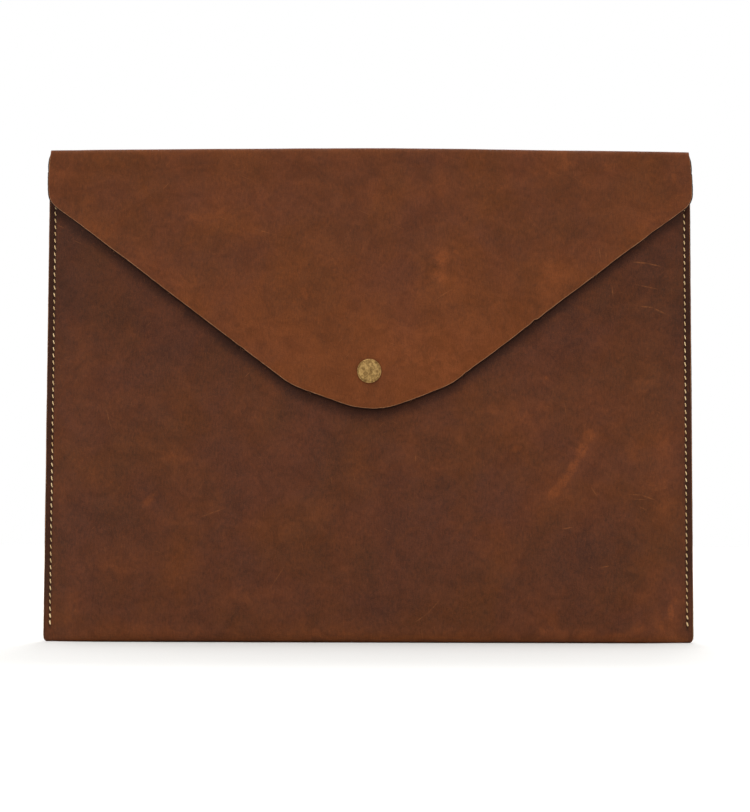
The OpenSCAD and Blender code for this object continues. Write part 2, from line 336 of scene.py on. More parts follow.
class Tree:
    """Short hand for building a node tree."""

    def __init__(self, name):
        self.mat = bpy.data.materials.new(name)
        self.mat.use_nodes = True
        self.nt = self.mat.node_tree
        self.bsdf = self.nt.nodes["Principled BSDF"]

    def node(self, kind, props=None, **inputs):
        n = self.nt.nodes.new("ShaderNode" + kind)
        for k, v in (props or {}).items():
            setattr(n, k, v)
        for k, v in inputs.items():
            self.put(n.inputs[k.replace("_", " ")], v)
        return n

    def put(self, socket, v):
        if isinstance(v, bpy.types.NodeSocket):
            self.nt.links.new(v, socket)
        elif v is not None:
            socket.default_value = v

    def math(self, op, a, b=None, c=None, clamp=False):
        n = self.nt.nodes.new("ShaderNodeMath")
        n.operation, n.use_clamp = op, clamp
        for s, v in zip(n.inputs, (a, b, c)):
            self.put(s, v)
        return n.outputs[0]

    def add(self, a, b):
        return self.math("ADD", a, b)

    def sub(self, a, b):
        return self.math("SUBTRACT", a, b)

    def mul(self, a, b):
        return self.math("MULTIPLY", a, b)

    def vec(self, op, a, b=None, scale=None):
        n = self.nt.nodes.new("ShaderNodeVectorMath")
        n.operation = op
        self.put(n.inputs[0], a)
        if b is not None:
            self.put(n.inputs[1], b)
        if scale is not None:
            self.put(n.inputs["Scale"], scale)
        return n.outputs["Value"] if op in ("DOT_PRODUCT", "LENGTH", "DISTANCE") else n.outputs[0]

    def attr(self, name, vector=False):
        n = self.nt.nodes.new("ShaderNodeAttribute")
        n.attribute_type = "GEOMETRY"
        n.attribute_name = name
        return n.outputs["Vector" if vector else "Fac"]

    def noise(self, co, scale, detail=2.0, rough=0.5, distort=0.0, lac=2.0):
        n = self.node("TexNoise", Vector=co, Scale=scale, Detail=detail, Roughness=rough, Distortion=distort, Lacunarity=lac)
        return n.outputs["Fac"]

    def step(self, x, lo, hi, out0=0.0, out1=1.0, kind="SMOOTHSTEP"):
        n = self.nt.nodes.new("ShaderNodeMapRange")
        n.interpolation_type = kind
        for s, v in zip(n.inputs[:5], (x, lo, hi, out0, out1)):
            self.put(s, v)
        return n.outputs[0]

    def mix(self, f, a, b, blend="MIX"):
        n = self.nt.nodes.new("ShaderNodeMix")
        n.data_type, n.blend_type = "RGBA", blend
        self.put(n.inputs[0], f)
        self.put(n.inputs[6], a)
        self.put(n.inputs[7], b)
        return n.outputs[2]

    def scaled(self, co, xyz, rot=0.0):
        """Turns the co-ordinates by rot degrees, then stretches them."""
        n = self.nt.nodes.new("ShaderNodeMapping")
        n.vector_type = "TEXTURE"
        self.put(n.inputs["Vector"], co)
        n.inputs["Scale"].default_value = tuple(1.0 / k for k in xyz)
        n.inputs["Rotation"].default_value = (0, 0, math.radians(rot))
        return n.outputs[0]

    def streak(self, co, a, b, width):
        """Mask of a thin tapering mark from a to b in the flat co-ordinates of the hide (mm)."""
        n = self.nt.nodes.new("ShaderNodeMapping")
        n.vector_type = "TEXTURE"
        self.put(n.inputs["Vector"], co)
        dx, dy = b[0] - a[0], b[1] - a[1]
        n.inputs["Location"].default_value = ((a[0] + b[0]) / 2, (a[1] + b[1]) / 2, 0)
        n.inputs["Rotation"].default_value = (0, 0, math.atan2(dy, dx))
        n.inputs["Scale"].default_value = (math.hypot(dx, dy) * 0.56, width, 50.0)
        return self.node("TexGradient", {"gradient_type": "SPHERICAL"}, Vector=n.outputs[0]).outputs["Fac"]


def srgb(r, g, b):
    def f(c):
        c = c / 255.0
        return c / 12.92 if c <= 0.04045 else ((c + 0.055) / 1.055) ** 2.4

    return (f(r), f(g), f(b), 1.0)


DARK_RED, DARK_OLIVE = (63, 36, 24), (66, 38, 20)
LIGHT_RED, LIGHT_OLIVE = (95, 50, 29), (100, 52, 22)


def path_lengths():
    """Distance along the middle of the hide from the mouth to its landmarks, at the centre line."""
    r = (Y_BACK_MID - Y_FRONT_MID) / 2
    down = MOUTH_Z - (r + T / 2)
    bottom_mid = down + r * math.pi / 2
    up0 = down + r * math.pi
    crease0 = up0 + (Z_TOP - CREASE_R) - (r + T / 2)
    rc = CREASE_R - T / 2
    spine0 = crease0 + rc * math.pi / 2
    spine_mid = spine0 + (Y_BACK - CREASE_R) - (Y_BACK + Y_FLAP) / 2
    flap_crease0 = spine0 + (Y_BACK - CREASE_R) - (Y_FLAP + CREASE_R)
    flap0 = flap_crease0 + rc * math.pi / 2
    return dict(bottom=bottom_mid, up0=up0, crease0=crease0, spine0=spine0, spine_mid=spine_mid, flap_crease0=flap_crease0, flap0=flap0, r=r, rc=rc)


PL = path_lengths()


def s_front(z):
    return MOUTH_Z - z


def s_flap(z):
    return PL["flap0"] + (Z_TOP - CREASE_R) - z


MARKS = [
    # (x, z, x, z, half width, strength, 1 on the flap) in mm
    (130.5, 188.6, 138.5, 188.2, 0.50, 0.75, 0), (137.0, 188.3, 145.5, 186.9, 0.46, 0.70, 0), (131.0, 177.6, 143.4, 175.4, 0.42, 0.55, 0),
    (133.5, 166.6, 141.0, 166.2, 0.48, 0.60, 0), (140.0, 166.3, 147.8, 163.0, 0.46, 0.60, 0), (120.4, 176.4, 120.9, 171.0, 0.46, 0.55, 0),
    (128.0, 73.2, 135.0, 72.9, 0.46, 0.60, 0), (134.0, 73.0, 141.5, 70.4, 0.44, 0.60, 0), (129.5, 71.0, 137.0, 70.6, 0.36, 0.45, 0),
    (22.3, 9.7, 29.6, 14.9, 0.40, 0.55, 0), (28.9, 14.3, 35.6, 21.8, 0.40, 0.55, 0), (95.0, 56.0, 100.6, 57.0, 0.40, 0.70, 0),
    (114.0, 37.2, 119.4, 38.2, 0.38, 0.60, 0), (22.9, 92.4, 23.1, 89.0, 0.38, 0.60, 0), (109.5, 76.6, 112.8, 72.0, 0.40, 0.50, 0),
    (-84.0, 61.0, -70.5, 66.0, 0.42, 0.45, 0), (-131.0, 118.0, -127.0, 104.0, 0.40, 0.45, 0), (-48.0, 27.0, -41.0, 38.0, 0.38, 0.40, 0),
    (113.6, 196.0, 114.5, 189.4, 0.42, 0.50, 1), (117.0, 194.6, 117.3, 188.6, 0.36, 0.35, 1),
    (-60.0, 205.0, -46.0, 201.0, 0.40, 0.40, 1), (31.0, 168.0, 43.0, 176.0, 0.38, 0.40, 1),
]


WORN = [
    # a curved rub and some small blotches: (x, z, x, z, half width, strength, 1 on the flap) in mm
    (110.6, 107.0, 106.6, 97.6, 4.8, 0.74, 0), (108.0, 101.0, 102.4, 89.0, 3.7, 0.76, 0), (103.6, 92.6, 97.4, 80.6, 3.5, 0.76, 0),
    (99.4, 85.0, 92.6, 75.0, 3.9, 0.82, 0), (95.4, 78.0, 87.5, 70.4, 4.4, 0.84, 0), (115.5, 104.0, 109.0, 101.0, 3.0, 0.40, 0),
    (70.0, 94.0, 76.0, 97.5, 2.6, 0.45, 0), (58.0, 118.0, 66.0, 112.0, 4.2, 0.35, 0), (86.6, 130.6, 88.6, 130.8, 1.6, 0.60, 0),
    (148.5, 22.0, 149.5, 8.0, 2.6, 0.75, 0), (143.5, 12.0, 144.5, 5.0, 2.4, 0.60, 0), (88.0, 12.0, 91.0, 7.5, 2.2, 0.60, 0),
    (116.0, 4.0, 128.0, 4.6, 1.8, 0.65, 0), (33.2, 189.6, 38.5, 188.6, 3.8, 0.95, 1), (34.4, 181.0, 37.0, 178.6, 4.0, 0.95, 1),
    (41.0, 194.5, 44.5, 191.5, 1.6, 0.70, 1), (98.0, 239.0, 104.0, 237.6, 1.8, 0.55, 1), (150.5, 235.5, 152.0, 228.0, 2.4, 0.60, 1),
    (139.0, 203.5, 137.4, 199.0, 1.8, 0.60, 1), (62.0, 224.0, 72.0, 226.0, 3.0, 0.30, 1), (-70.0, 158.0, -62.0, 150.0, 2.4, 0.60, 0),
    (-112.0, 66.0, -104.0, 74.0, 2.6, 0.55, 0), (-92.0, 212.0, -80.0, 208.0, 2.6, 0.55, 1), (-34.0, 176.0, -30.0, 168.0, 2.2, 0.55, 1),
]


def leather():
    t = Tree("leather_grain")
    co = t.vec("SCALE", t.attr("hide_co", True), scale=1000.0)
    fine = t.noise(co, 0.55, 4.0, 0.62, 0.3)
    # marks: explicit streaks, then sparse stretched noise in a few directions
    line = None
    for x0, z0, x1, z1, w, k, where in MARKS:
        f = s_flap if where else s_front
        m = t.mul(t.streak(co, (x0, f(z0)), (x1, f(z1)), w), k * 0.85)
        line = m if line is None else t.math("MAXIMUM", line, m)
    line = t.mul(line, t.step(fine, 0.30, 0.62, 0.25, 1.0))
    for rot, sx, sy, off, lim in ((24, 0.10, 2.2, (5.0, 3.0, 0.0), 0.765), (-48, 0.12, 2.0, (60.0, 42.0, 0.0), 0.765), (82, 0.10, 2.4, (130.0, 91.0, 0.0), 0.765)):
        m = t.scaled(t.vec("ADD", co, off), (sx, sy, 0.2), rot)
        line = t.math("MAXIMUM", line, t.step(t.noise(m, 1.0, 1.0, 0.4, 0.25), lim, lim + 0.06, 0.0, 0.30))
    # broad clouds of light and dark, then a fine mottle
    v = t.mul(t.noise(co, 0.019, 6.0, 0.58, 0.6), 0.30)
    cloud = t.noise(t.scaled(co, (0.060, 0.045, 0.05), 20), 1.0, 5.0, 0.6, 0.9)
    v = t.add(v, t.add(t.mul(cloud, 0.34), t.mul(fine, 0.36)))
    v = t.add(v, t.mul(t.noise(t.scaled(co, (1.15, 0.30, 1.0), 4), 1.0, 3.0, 0.6, 0.5), 0.32))
    v = t.step(v, 0.475, 0.875, kind="LINEAR")
    tone = t.attr("tone")
    v = t.add(v, t.mul(tone, 0.36))
    v = t.math("MINIMUM", t.math("MAXIMUM", v, 0.0), 1.25)
    hue = t.noise(t.vec("ADD", co, (310.0, 75.0, 0.0)), 0.026, 4.0, 0.5, 0.4)
    hue = t.math("ADD", t.step(hue, 0.24, 0.76), t.mul(t.sub(tone, 0.35), 0.45), clamp=True)
    base = t.mix(v, t.mix(hue, srgb(*DARK_RED), srgb(*DARK_OLIVE)), t.mix(hue, srgb(*LIGHT_RED), srgb(*LIGHT_OLIVE)))
    # painted shadow: darkest under the flap and in a band just below its edge, and darker in the sewn margin outside
    # the seams
    base = t.mix(t.step(tone, 0.05, -1.15, 0.0, 0.60, kind="LINEAR"), base, srgb(36, 11, 3))
    # wax pulled up: orange patches where the hide has been bent or rubbed
    pn = t.noise(t.vec("ADD", co, (40.0, 400.0, 0.0)), 0.11, 6.0, 0.66, 0.8)
    pm = t.math("MULTIPLY", t.attr("pull"), t.step(pn, 0.34, 0.64), clamp=True)
    worn = None
    for x0, z0, x1, z1, w, k, where in WORN:
        f = s_flap if where else s_front
        m = t.mul(t.step(t.streak(co, (x0, f(z0)), (x1, f(z1)), w), 0.0, 0.7), k)
        worn = m if worn is None else t.math("MAXIMUM", worn, m)
    pm = t.math("MAXIMUM", pm, t.mul(worn, t.step(t.add(t.mul(fine, 0.6), t.mul(pn, 0.4)), 0.34, 0.56, 0.35, 1.0)))
    base = t.mix(t.mul(pm, 0.66), base, srgb(127, 67, 32))
    patch = t.noise(t.vec("ADD", co, (150.0, 20.0, 0.0)), 0.034, 5.0, 0.62, 1.2)
    base = t.mix(t.step(patch, 0.58, 0.76, 0.0, 0.30), base, srgb(108, 56, 26))
    # rubbed folds, burnished cut edges
    fn = t.noise(t.scaled(co, (0.09, 0.5, 0.3)), 1.0, 5.0, 0.6)
    base = t.mix(t.math("MULTIPLY", t.attr("fold"), t.step(fn, 0.28, 0.72, 0.25, 1.0), clamp=True), base, srgb(128, 68, 26))
    base = t.mix(t.math("MULTIPLY", t.attr("edge"), t.step(fine, 0.2, 0.8, 0.55, 1.0), clamp=True), base, srgb(38, 21, 11))
    # pores and fine flecks
    speck = t.noise(co, 2.4, 2.0, 0.6)
    base = t.mix(t.step(speck, 0.54, 0.72, 0.0, 0.36), base, srgb(46, 26, 15))
    base = t.mix(t.step(speck, 0.45, 0.28, 0.0, 0.30), base, srgb(118, 70, 36))
    mott = t.add(t.mul(t.noise(t.scaled(co, (0.075, 0.095, 1.0), 12), 1.0, 5.0, 0.66, 1.0), 0.62), t.mul(t.noise(t.scaled(co, (1.5, 0.42, 1.0), -3), 1.0, 3.0, 0.6, 0.4), 0.38))
    base = t.mix(1.0, base, t.node("CombineColor", Red=t.step(mott, 0.34, 0.66, 0.84, 1.16), Green=t.step(mott, 0.34, 0.66, 0.83, 1.17), Blue=t.step(mott, 0.34, 0.66, 0.80, 1.20)).outputs[0], "MULTIPLY")
    base = t.mix(t.math("MINIMUM", line, 1.0), base, srgb(146, 88, 48))
    t.put(t.bsdf.inputs["Base Color"], base)
    # waxed where dark, drier where rubbed
    t.put(t.bsdf.inputs["Roughness"], t.add(t.step(cloud, 0.3, 0.7, 0.53, 0.66), t.add(t.mul(line, 0.12), t.mul(pm, 0.06))))
    t.bsdf.inputs["Specular IOR Level"].default_value = 0.10
    # grain: shallow cells, fine pores, a slow unevenness
    co2 = t.vec("SCALE", t.attr("hide_co", True), scale=1000.0)
    cells = t.node("TexVoronoi", {"feature": "F1"}, Vector=co2, Scale=1.15).outputs["Distance"]
    h = t.add(t.mul(cells, 0.35), t.add(t.mul(t.noise(co2, 3.2, 3.0, 0.6), 0.30), t.mul(t.noise(co2, 0.20, 3.0, 0.5, 0.4), 1.6)))
    t.put(t.bsdf.inputs["Normal"], t.node("Bump", Height=h, Strength=0.30, Distance=0.00022).outputs[0])
    return t.mat


def flesh():
    t = Tree("leather_flesh")
    co = t.vec("SCALE", t.attr("hide_co", True), scale=1000.0)
    cloud = t.noise(co, 0.03, 5.0, 0.6, 0.5)
    nap = t.noise(t.scaled(co, (1.6, 0.8, 1.0), 35), 1.0, 4.0, 0.65, 0.8)
    hairs = t.noise(t.scaled(co, (5.0, 1.1, 1.0), 20), 1.0, 3.0, 0.6, 1.4)
    v = t.add(t.mul(cloud, 0.6), t.add(t.mul(nap, 0.3), t.mul(hairs, 0.25)))
    base = t.mix(t.step(v, 0.38, 0.80, kind="LINEAR"), srgb(82, 52, 34), srgb(138, 96, 64))
    base = t.mix(t.mul(t.attr("fold"), 0.35), base, srgb(96, 60, 38))
    t.put(t.bsdf.inputs["Base Color"], base)
    t.put(t.bsdf.inputs["Roughness"], t.step(nap, 0.3, 0.7, 0.82, 0.95))
    t.bsdf.inputs["Specular IOR Level"].default_value = 0.10
    t.bsdf.inputs["Sheen Weight"].default_value = 0.12
    t.bsdf.inputs["Sheen Roughness"].default_value = 0.5
    h = t.add(t.mul(nap, 0.8), t.mul(hairs, 0.6))
    t.put(t.bsdf.inputs["Normal"], t.node("Bump", Height=h, Strength=0.5, Distance=0.0003).outputs[0])
    return t.mat


def raw_edge():
    t = Tree("leather_cut_edge")
    co = t.vec("SCALE", t.attr("hide_co", True), scale=1000.0)
    fibre = t.noise(t.scaled(co, (2.2, 2.2, 4.5)), 1.0, 4.0, 0.65, 0.8)
    blotch = t.noise(co, 0.16, 4.0, 0.55)
    sep = t.node("SeparateXYZ", Vector=co)
    depth = t.math("DIVIDE", sep.outputs[2], T)
    pale = t.mix(t.step(fibre, 0.30, 0.72), srgb(142, 96, 64), srgb(204, 152, 110))
    base = t.mix(t.step(blotch, 0.40, 0.68, 0.0, 0.7), pale, srgb(122, 76, 46))
    # the grain side is pale and the flesh side is stained dark; where edge is near 1 (the flap's free edge) the band is
    # near-black, a real stain deepened into painted shadow of the flap on the panel below
    edge = t.attr("edge")
    base = t.mix(t.mul(edge, 0.40), base, srgb(70, 40, 22))
    where = t.add(t.add(depth, t.mul(t.sub(fibre, 0.5), 0.34)), t.mul(edge, 0.26))
    base = t.mix(t.step(where, 0.40, 0.56), base, t.mix(t.step(edge, 0.5, 0.9), t.mix(fibre, srgb(48, 27, 16), srgb(72, 43, 26)), srgb(34, 14, 7)))
    t.put(t.bsdf.inputs["Base Color"], base)
    t.put(t.bsdf.inputs["Roughness"], t.step(fibre, 0.3, 0.7, 0.72, 0.92))
    t.bsdf.inputs["Specular IOR Level"].default_value = 0.10
    t.put(t.bsdf.inputs["Normal"], t.node("Bump", Height=fibre, Strength=0.6, Distance=0.0003).outputs[0])
    return t.mat


def thread_material():
    t = Tree("waxed_thread")
    co = t.vec("SCALE", t.attr("strand_co", True), scale=1000.0)
    fuzz = t.noise(co, 3.0, 3.0, 0.6)
    soil = t.noise(co, 0.10, 4.0, 0.6)
    sep = t.node("SeparateXYZ", Vector=t.attr("strand_uv", True))
    ply = t.math("SINE", t.add(t.mul(sep.outputs[0], 2 * math.pi * 3), t.mul(sep.outputs[1], 9.0)))
    base = t.mix(t.step(soil, 0.36, 0.66), srgb(200, 164, 112), srgb(238, 208, 158))
    base = t.mix(t.step(ply, -0.95, -0.35, 0.5, 0.0), base, srgb(130, 92, 58))
    base = t.mix(t.mul(t.step(fuzz, 0.55, 0.75), 0.35), base, srgb(246, 222, 180))
    t.put(t.bsdf.inputs["Base Color"], base)
    t.put(t.bsdf.inputs["Roughness"], t.step(fuzz, 0.3, 0.7, 0.50, 0.70))
    t.bsdf.inputs["Specular IOR Level"].default_value = 0.30
    h = t.add(t.mul(fuzz, 0.5), t.mul(ply, 0.25))
    t.put(t.bsdf.inputs["Normal"], t.node("Bump", Height=h, Strength=0.5, Distance=0.00012).outputs[0])
    return t.mat


def brass_material(name, bright, dull, rough0):
    t = Tree(name)
    co = t.vec("SCALE", t.node("TexCoord").outputs["Object"], scale=1000.0)
    rel = t.vec("SUBTRACT", co, (0.0, 0.0, SNAP_Z))
    sep = t.node("SeparateXYZ", Vector=rel)
    radius = t.math("SQRT", t.add(t.mul(sep.outputs[0], sep.outputs[0]), t.mul(sep.outputs[2], sep.outputs[2])))
    rings = t.node("TexNoise", {"noise_dimensions": "1D"}, W=radius, Scale=9.0, Detail=3.0).outputs["Fac"]
    tarn = t.noise(co, 0.55, 5.0, 0.62, 0.7)
    spot = t.noise(co, 2.6, 3.0, 0.6)
    base = t.mix(t.step(tarn, 0.34, 0.64), srgb(*bright), srgb(*dull))
    base = t.mix(t.mul(t.step(spot, 0.58, 0.72), 0.55), base, srgb(70, 50, 28))
    t.put(t.bsdf.inputs["Base Color"], base)
    t.bsdf.inputs["Metallic"].default_value = 1.0
    t.put(t.bsdf.inputs["Roughness"], t.add(t.step(tarn, 0.3, 0.7, rough0, rough0 + 0.2), t.mul(rings, 0.08)))
    h = t.add(t.mul(rings, 0.5), t.mul(spot, 0.4))
    t.put(t.bsdf.inputs["Normal"], t.node("Bump", Height=h, Strength=0.25, Distance=0.00008).outputs[0])
    return t.mat


def magnet_material():
    t = Tree("magnet_nickel")
    co = t.vec("SCALE", t.node("TexCoord").outputs["Object"], scale=1000.0)
    n = t.noise(co, 1.4, 4.0, 0.6)
    fine = t.noise(t.scaled(co, (6.0, 1.0, 6.0)), 1.0, 2.0)
    t.put(t.bsdf.inputs["Base Color"], t.mix(t.step(n, 0.3, 0.7), srgb(120, 120, 122), srgb(168, 168, 166)))
    t.bsdf.inputs["Metallic"].default_value = 1.0
    t.put(t.bsdf.inputs["Roughness"], t.step(fine, 0.3, 0.7, 0.3, 0.48))
    t.put(t.bsdf.inputs["Normal"], t.node("Bump", Height=fine, Strength=0.2, Distance=0.00005).outputs[0])
    return t.mat


GRAIN, FLESH, RAW = leather(), flesh(), raw_edge()
THREAD = thread_material()
BRASS = brass_material("aged_brass", (176, 142, 88), (120, 92, 54), 0.30)
BRASS_IN = brass_material("snap_brass", (186, 154, 100), (140, 110, 66), 0.26)

# ---------------------------------------------------------------- where wax is pulled up


def blobs(x, z, items):
    """Sum of soft ellipses (x, z, half length, half width, angle, strength)."""
    out = np.zeros_like(x)
    for bx, bz, a, b, ang, k in items:
        c, s = math.cos(math.radians(ang)), math.sin(math.radians(ang))
        u, v = (x - bx) * c + (z - bz) * s, -(x - bx) * s + (z - bz) * c
        v = v + 0.18 * b * vnoise(x, z, 5, 77)
        out = np.maximum(out, k * np.exp(-((u / a) ** 2 + (v / b) ** 2)))
    return out


FRONT_PULL = [
    (106, 97, 14, 6.0, 62, 0.30), (93, 76, 9, 6.0, 42, 0.30), (111, 104, 8, 7, 20, 0.30),
    (79, 112, 11, 9, 20, 0.60), (136, 127, 5, 6, 0, 0.55), (146.5, 99, 4, 10, 0, 0.60), (143, 77, 8, 11, 0, 0.46), (45, 99, 4, 12, 0, 0.30), (133, 8, 5, 5, 0, 0.70), (86.6, 8, 7, 5, 0, 0.85), (40, 108, 12, 8, 0, 0.30), (87, 130.6, 2.0, 1.4, 0, 0.6),
    (150, 14, 3.2, 12, 0, 0.85), (143, 9, 2.4, 9, 4, 0.6), (128, 9, 2.0, 8, 0, 0.42), (122, 4, 9, 3.4, 0, 0.75),
    (88, 10, 7, 5, 25, 0.55), (103, 4, 14, 3.0, 0, 0.6), (146, 62, 5, 26, 4, 0.28), (132, 92, 7, 14, -20, 0.26),
    (20, 92, 4, 26, 0, 0.20), (-30, 62, 26, 8, 12, 0.30), (-96, 92, 14, 6, -35, 0.45), (-124, 38, 22, 7, 8, 0.40),
    (-60, 22, 24, 5, -4, 0.42), (-142, 140, 5, 26, 0, 0.34), (-18, 30, 12, 5, 30, 0.3), (148, 172, 4, 20, 0, 0.22),
    (60, 40, 22, 9, -12, 0.18), (-146, 18, 3, 13, 0, 0.6), (-108, 5, 30, 3.2, 0, 0.6), (-20, 5, 40, 3.0, 0, 0.4), (50, 5, 30, 3.0, 0, 0.42),
]
FLAP_PULL = [
    (27, 138, 36, 24, 0, 0.62), (35, 186, 12, 7, 90, 0.95), (91, 181, 11, 11, 0, 0.62), (36, 225, 12, 4, 90, 0.5), (97, 236, 6, 3, 90, 0.7), (35, 182, 26, 12, 62, 0.50), (60, 160, 20, 9, 38, 0.48), (96, 176, 30, 6, 37, 0.40), (140, 208, 16, 5, 37, 0.42),
    (117, 236, 5, 3, 0, 0.6), (20, 132, 24, 8, 20, 0.48), (120, 222, 26, 12, 0, 0.22), (154, 230, 6, 14, 0, 0.42),
    (-42, 150, 24, 8, -37, 0.46), (-100, 180, 34, 7, -37, 0.44), (-70, 214, 30, 9, 10, 0.32), (-20, 196, 20, 14, 0, 0.28),
    (-150, 232, 8, 12, 0, 0.40), (10, 222, 34, 8, 5, 0.26), (78, 232, 30, 6, 0, 0.30), (-8, 120, 20, 5, 0, 0.4),
]
BACK_PULL = [
    (-60, 120, 34, 8, 35, 0.5), (40, 170, 40, 7, -18, 0.42), (90, 60, 24, 9, 60, 0.46), (-110, 40, 26, 7, 12, 0.42),
    (-20, 205, 60, 7, 4, 0.35), (120, 150, 6, 36, 0, 0.36), (-140, 170, 5, 40, 0, 0.38), (10, 30, 34, 6, -8, 0.4),
    (130, 12, 18, 4, 0, 0.55), (-70, 6, 40, 3.4, 0, 0.5), (60, 6, 44, 3.2, 0, 0.5),
]


def paint_for(P, S, kind, rim_dist, fold):
    x, z = P[..., 0], P[..., 2]
    table = {"front": FRONT_PULL, "flap": FLAP_PULL, "back": BACK_PULL}[kind]
    pull = blobs(x, z, table)
    tone = {"front": 0.0, "flap": 0.62, "back": 0.12}[kind] * np.ones_like(x)
    if kind == "back":
        tone = tone + (0.62 - 0.12) * sstep(Z_TOP - 40, Z_TOP - 2, z)
    if kind == "front":
        # painted shadow of the flap on the front: the tone drops under the flap and over a band 8 mm below its edge;
        # the panel is also darker towards the top and in the sewn margin
        flap_shadow_paint = sstep(-8.0, 1.0, z - np.interp(np.abs(x), OUT[:, 0], OUT[:, 1]))
        tone = tone - 1.30 * flap_shadow_paint + 0.06 - 0.34 * sstep(118, 165, z) - 1.0 * sstep(4.4, 2.6, HALF_W - np.abs(x)) * (0.35 + 0.65 * sstep(8, 50, z)) + 0.14 * sstep(40, 0, z) + 0.34 * blobs(x, z, [(126, 92, 34, 34, 0, 1.0), (72, 110, 30, 22, 0, 0.8), (145, 24, 15, 26, 0, 1.6)])
    if kind == "flap":
        tone = tone - 0.10 + 1.02 * sstep(212, 128, z) + 0.16 * sstep(60, 130, x)
        # warmer along the free edge
        pull = np.maximum(pull, 0.30 * np.exp(-((rim_dist / 7.0) ** 2)))
    edge = {"front": 0.75, "flap": 0.0, "back": 0.75}[kind] * np.exp(-((rim_dist / 0.55) ** 2))
    if kind != "flap":
        d = np.minimum(np.abs(x - STITCH_X), np.abs(x + STITCH_X))
        k = (z - STITCH_Z0) / PITCH
        k = np.abs(k - np.round(k)) * PITCH
        sewn = (z > STITCH_Z0 - 0.8) & (z < STITCH_Z0 + PITCH * N_STITCH + 0.8)
        edge = np.maximum(edge, np.where(sewn, (0.62 + 0.38 * np.exp(-((k / 0.85) ** 2))) * np.exp(-((d / 0.75) ** 2)), 0))
    return np.stack([tone, pull, fold, edge], -1)


# ---------------------------------------------------------------- seam dimples


def dimples(x, z, side_depth=0.34):
    """How far the surface is pulled in by the stitches: a shallow channel with a pit at each hole."""
    d = np.minimum(np.abs(x - STITCH_X), np.abs(x + STITCH_X))
    ph = (z - STITCH_Z0) / PITCH
    k = np.abs(ph - np.round(ph)) * PITCH
    inside = (z > STITCH_Z0 - 1.0) & (z < STITCH_Z0 + PITCH * N_STITCH + 1.0)
    channel = 0.16 * np.exp(-((d / 1.1) ** 2))
    pit = side_depth * np.exp(-((d / 0.55) ** 2) - (k / 0.65) ** 2)
    # between the holes the leather swells a little beside the thread
    swell = 0.07 * np.exp(-(((d - 1.5) / 0.7) ** 2)) * np.cos(2 * math.pi * ph)
    soft = sstep(STITCH_Z0 - 3, STITCH_Z0, z) * sstep(STITCH_Z0 + PITCH * N_STITCH + 3, STITCH_Z0 + PITCH * N_STITCH, z)
    return -(channel * soft + np.where(inside, pit, 0.0)) - np.where(inside, swell, 0.0)


# ---------------------------------------------------------------- front panel and half of the bottom fold


def fold_point(x, a, ym):
    """A point on the bottom fold; a runs from 0 at the front to pi at the back."""
    yb = back_mid_y(x, 0 * x)
    r = (yb - ym) / 2
    cy = (yb + ym) / 2
    flat = np.clip(r - 1.2, 0, 1.4)  # the foot is slightly flattened where the fold is open
    c, s = np.cos(a), np.sin(a)
    k = 0.62
    y = cy - r * np.sign(c) * np.abs(c) ** (1 - 0.25 * flat / 1.4)
    z = (r + T / 2) - r * np.abs(s) ** (1 - (1 - k) * 0.35 * flat / 1.4)
    return y, z, r


def make_front():
    xs = COLS
    flat_rows = [z for z in ROWS_FRONT]
    P, S = [], []
    for z in flat_rows:
        zz = np.full_like(xs, z)
        hw = HALF_W - 0.6 + edge_wave(z, 41) * 0.8
        hwl = HALF_W - 0.5 + edge_wave(z, 47) * 0.8
        x = np.where(xs > 0, xs - (HALF_W - hw) * sstep(HALF_W - 2.2, HALF_W, xs), xs + (HALF_W - hwl) * sstep(HALF_W - 2.2, HALF_W, -xs))
        if z > MOUTH_Z - 0.01:
            zz = zz + 0.35 * vnoise(x, 0 * x, 38, 51) + 0.08 * vnoise(x, 0 * x, 6, 52)
        P.append(np.stack([x, front_mid_y(x, zz), zz], -1))
        S.append(MOUTH_Z - zz)
    z0 = flat_rows[-1]
    ym0 = front_mid_y(xs, np.full_like(xs, z0))
    x_last = P[-1][:, 0]
    for f in (0.4, 0.75):
        ym = ym0
        _, _, r = fold_point(x_last, 0.0, ym)
        zc = r + T / 2
        zz = z0 + (zc - z0) * f
        P.append(np.stack([x_last, ym, zz], -1))
        S.append(MOUTH_Z - zz)
    for a in np.linspace(0, math.pi / 2, 9):
        y, z, r = fold_point(x_last, a, ym0)
        inset = bottom_corner(z - T / 2 + 0.0)
        x = x_last - np.sign(x_last) * inset * sstep(HALF_W - 6, HALF_W - 0.5, np.abs(x_last))
        P.append(np.stack([x, y, z], -1))
        S.append(MOUTH_Z - (r + T / 2) + r * a)
    P, S = np.array(P), np.array(S)
    nv, nu, _ = P.shape
    x, z = P[..., 0], P[..., 2]
    lift = dimples(x, z) + 0.05 * fbm(x, z, 14, 61, 2)
    lift = lift - 0.20 * sstep(3.2, 0.2, MOUTH_Z - z) ** 2
    rim = np.minimum(HALF_W - 0.6 - np.abs(x), MOUTH_Z - z + 0.4)
    fold = 0.75 * np.exp(-((z / 3.6) ** 2)) * (0.55 + 0.45 * vnoise(x, 0 * x, 26, 71)) * sstep(0.5, 8, HALF_W - np.abs(x))
    fold = np.clip(fold, 0, 1)
    paint = paint_for(P, S, "front", np.maximum(rim, 0), fold)
    chain = [(v, 0, v, 1) for v in range(nv - 1, -1, -1)] + [(0, u, 1, u) for u in range(1, nu)] + [(v, nu - 1, v, nu - 2) for v in range(1, nv)]
    return Slab("hide_front", P, S, -1.0, lift, [chain], [nv - 1], paint, seed=101, rim_stain_and_shadow=0.5).obj


# ---------------------------------------------------------------- other half of the bottom fold, back, back crease, half the top


def crease_points(x, a, cy, cz, r, sign):
    return cy + sign * r * np.cos(a), cz + r * np.sin(a)


def narrow(z):
    """Half width of the back as it narrows to the top fold."""
    return HALF_W + (FOLD_HALF - HALF_W) * sstep(MOUTH_Z - 3, Z_TOP - CREASE_R, z)


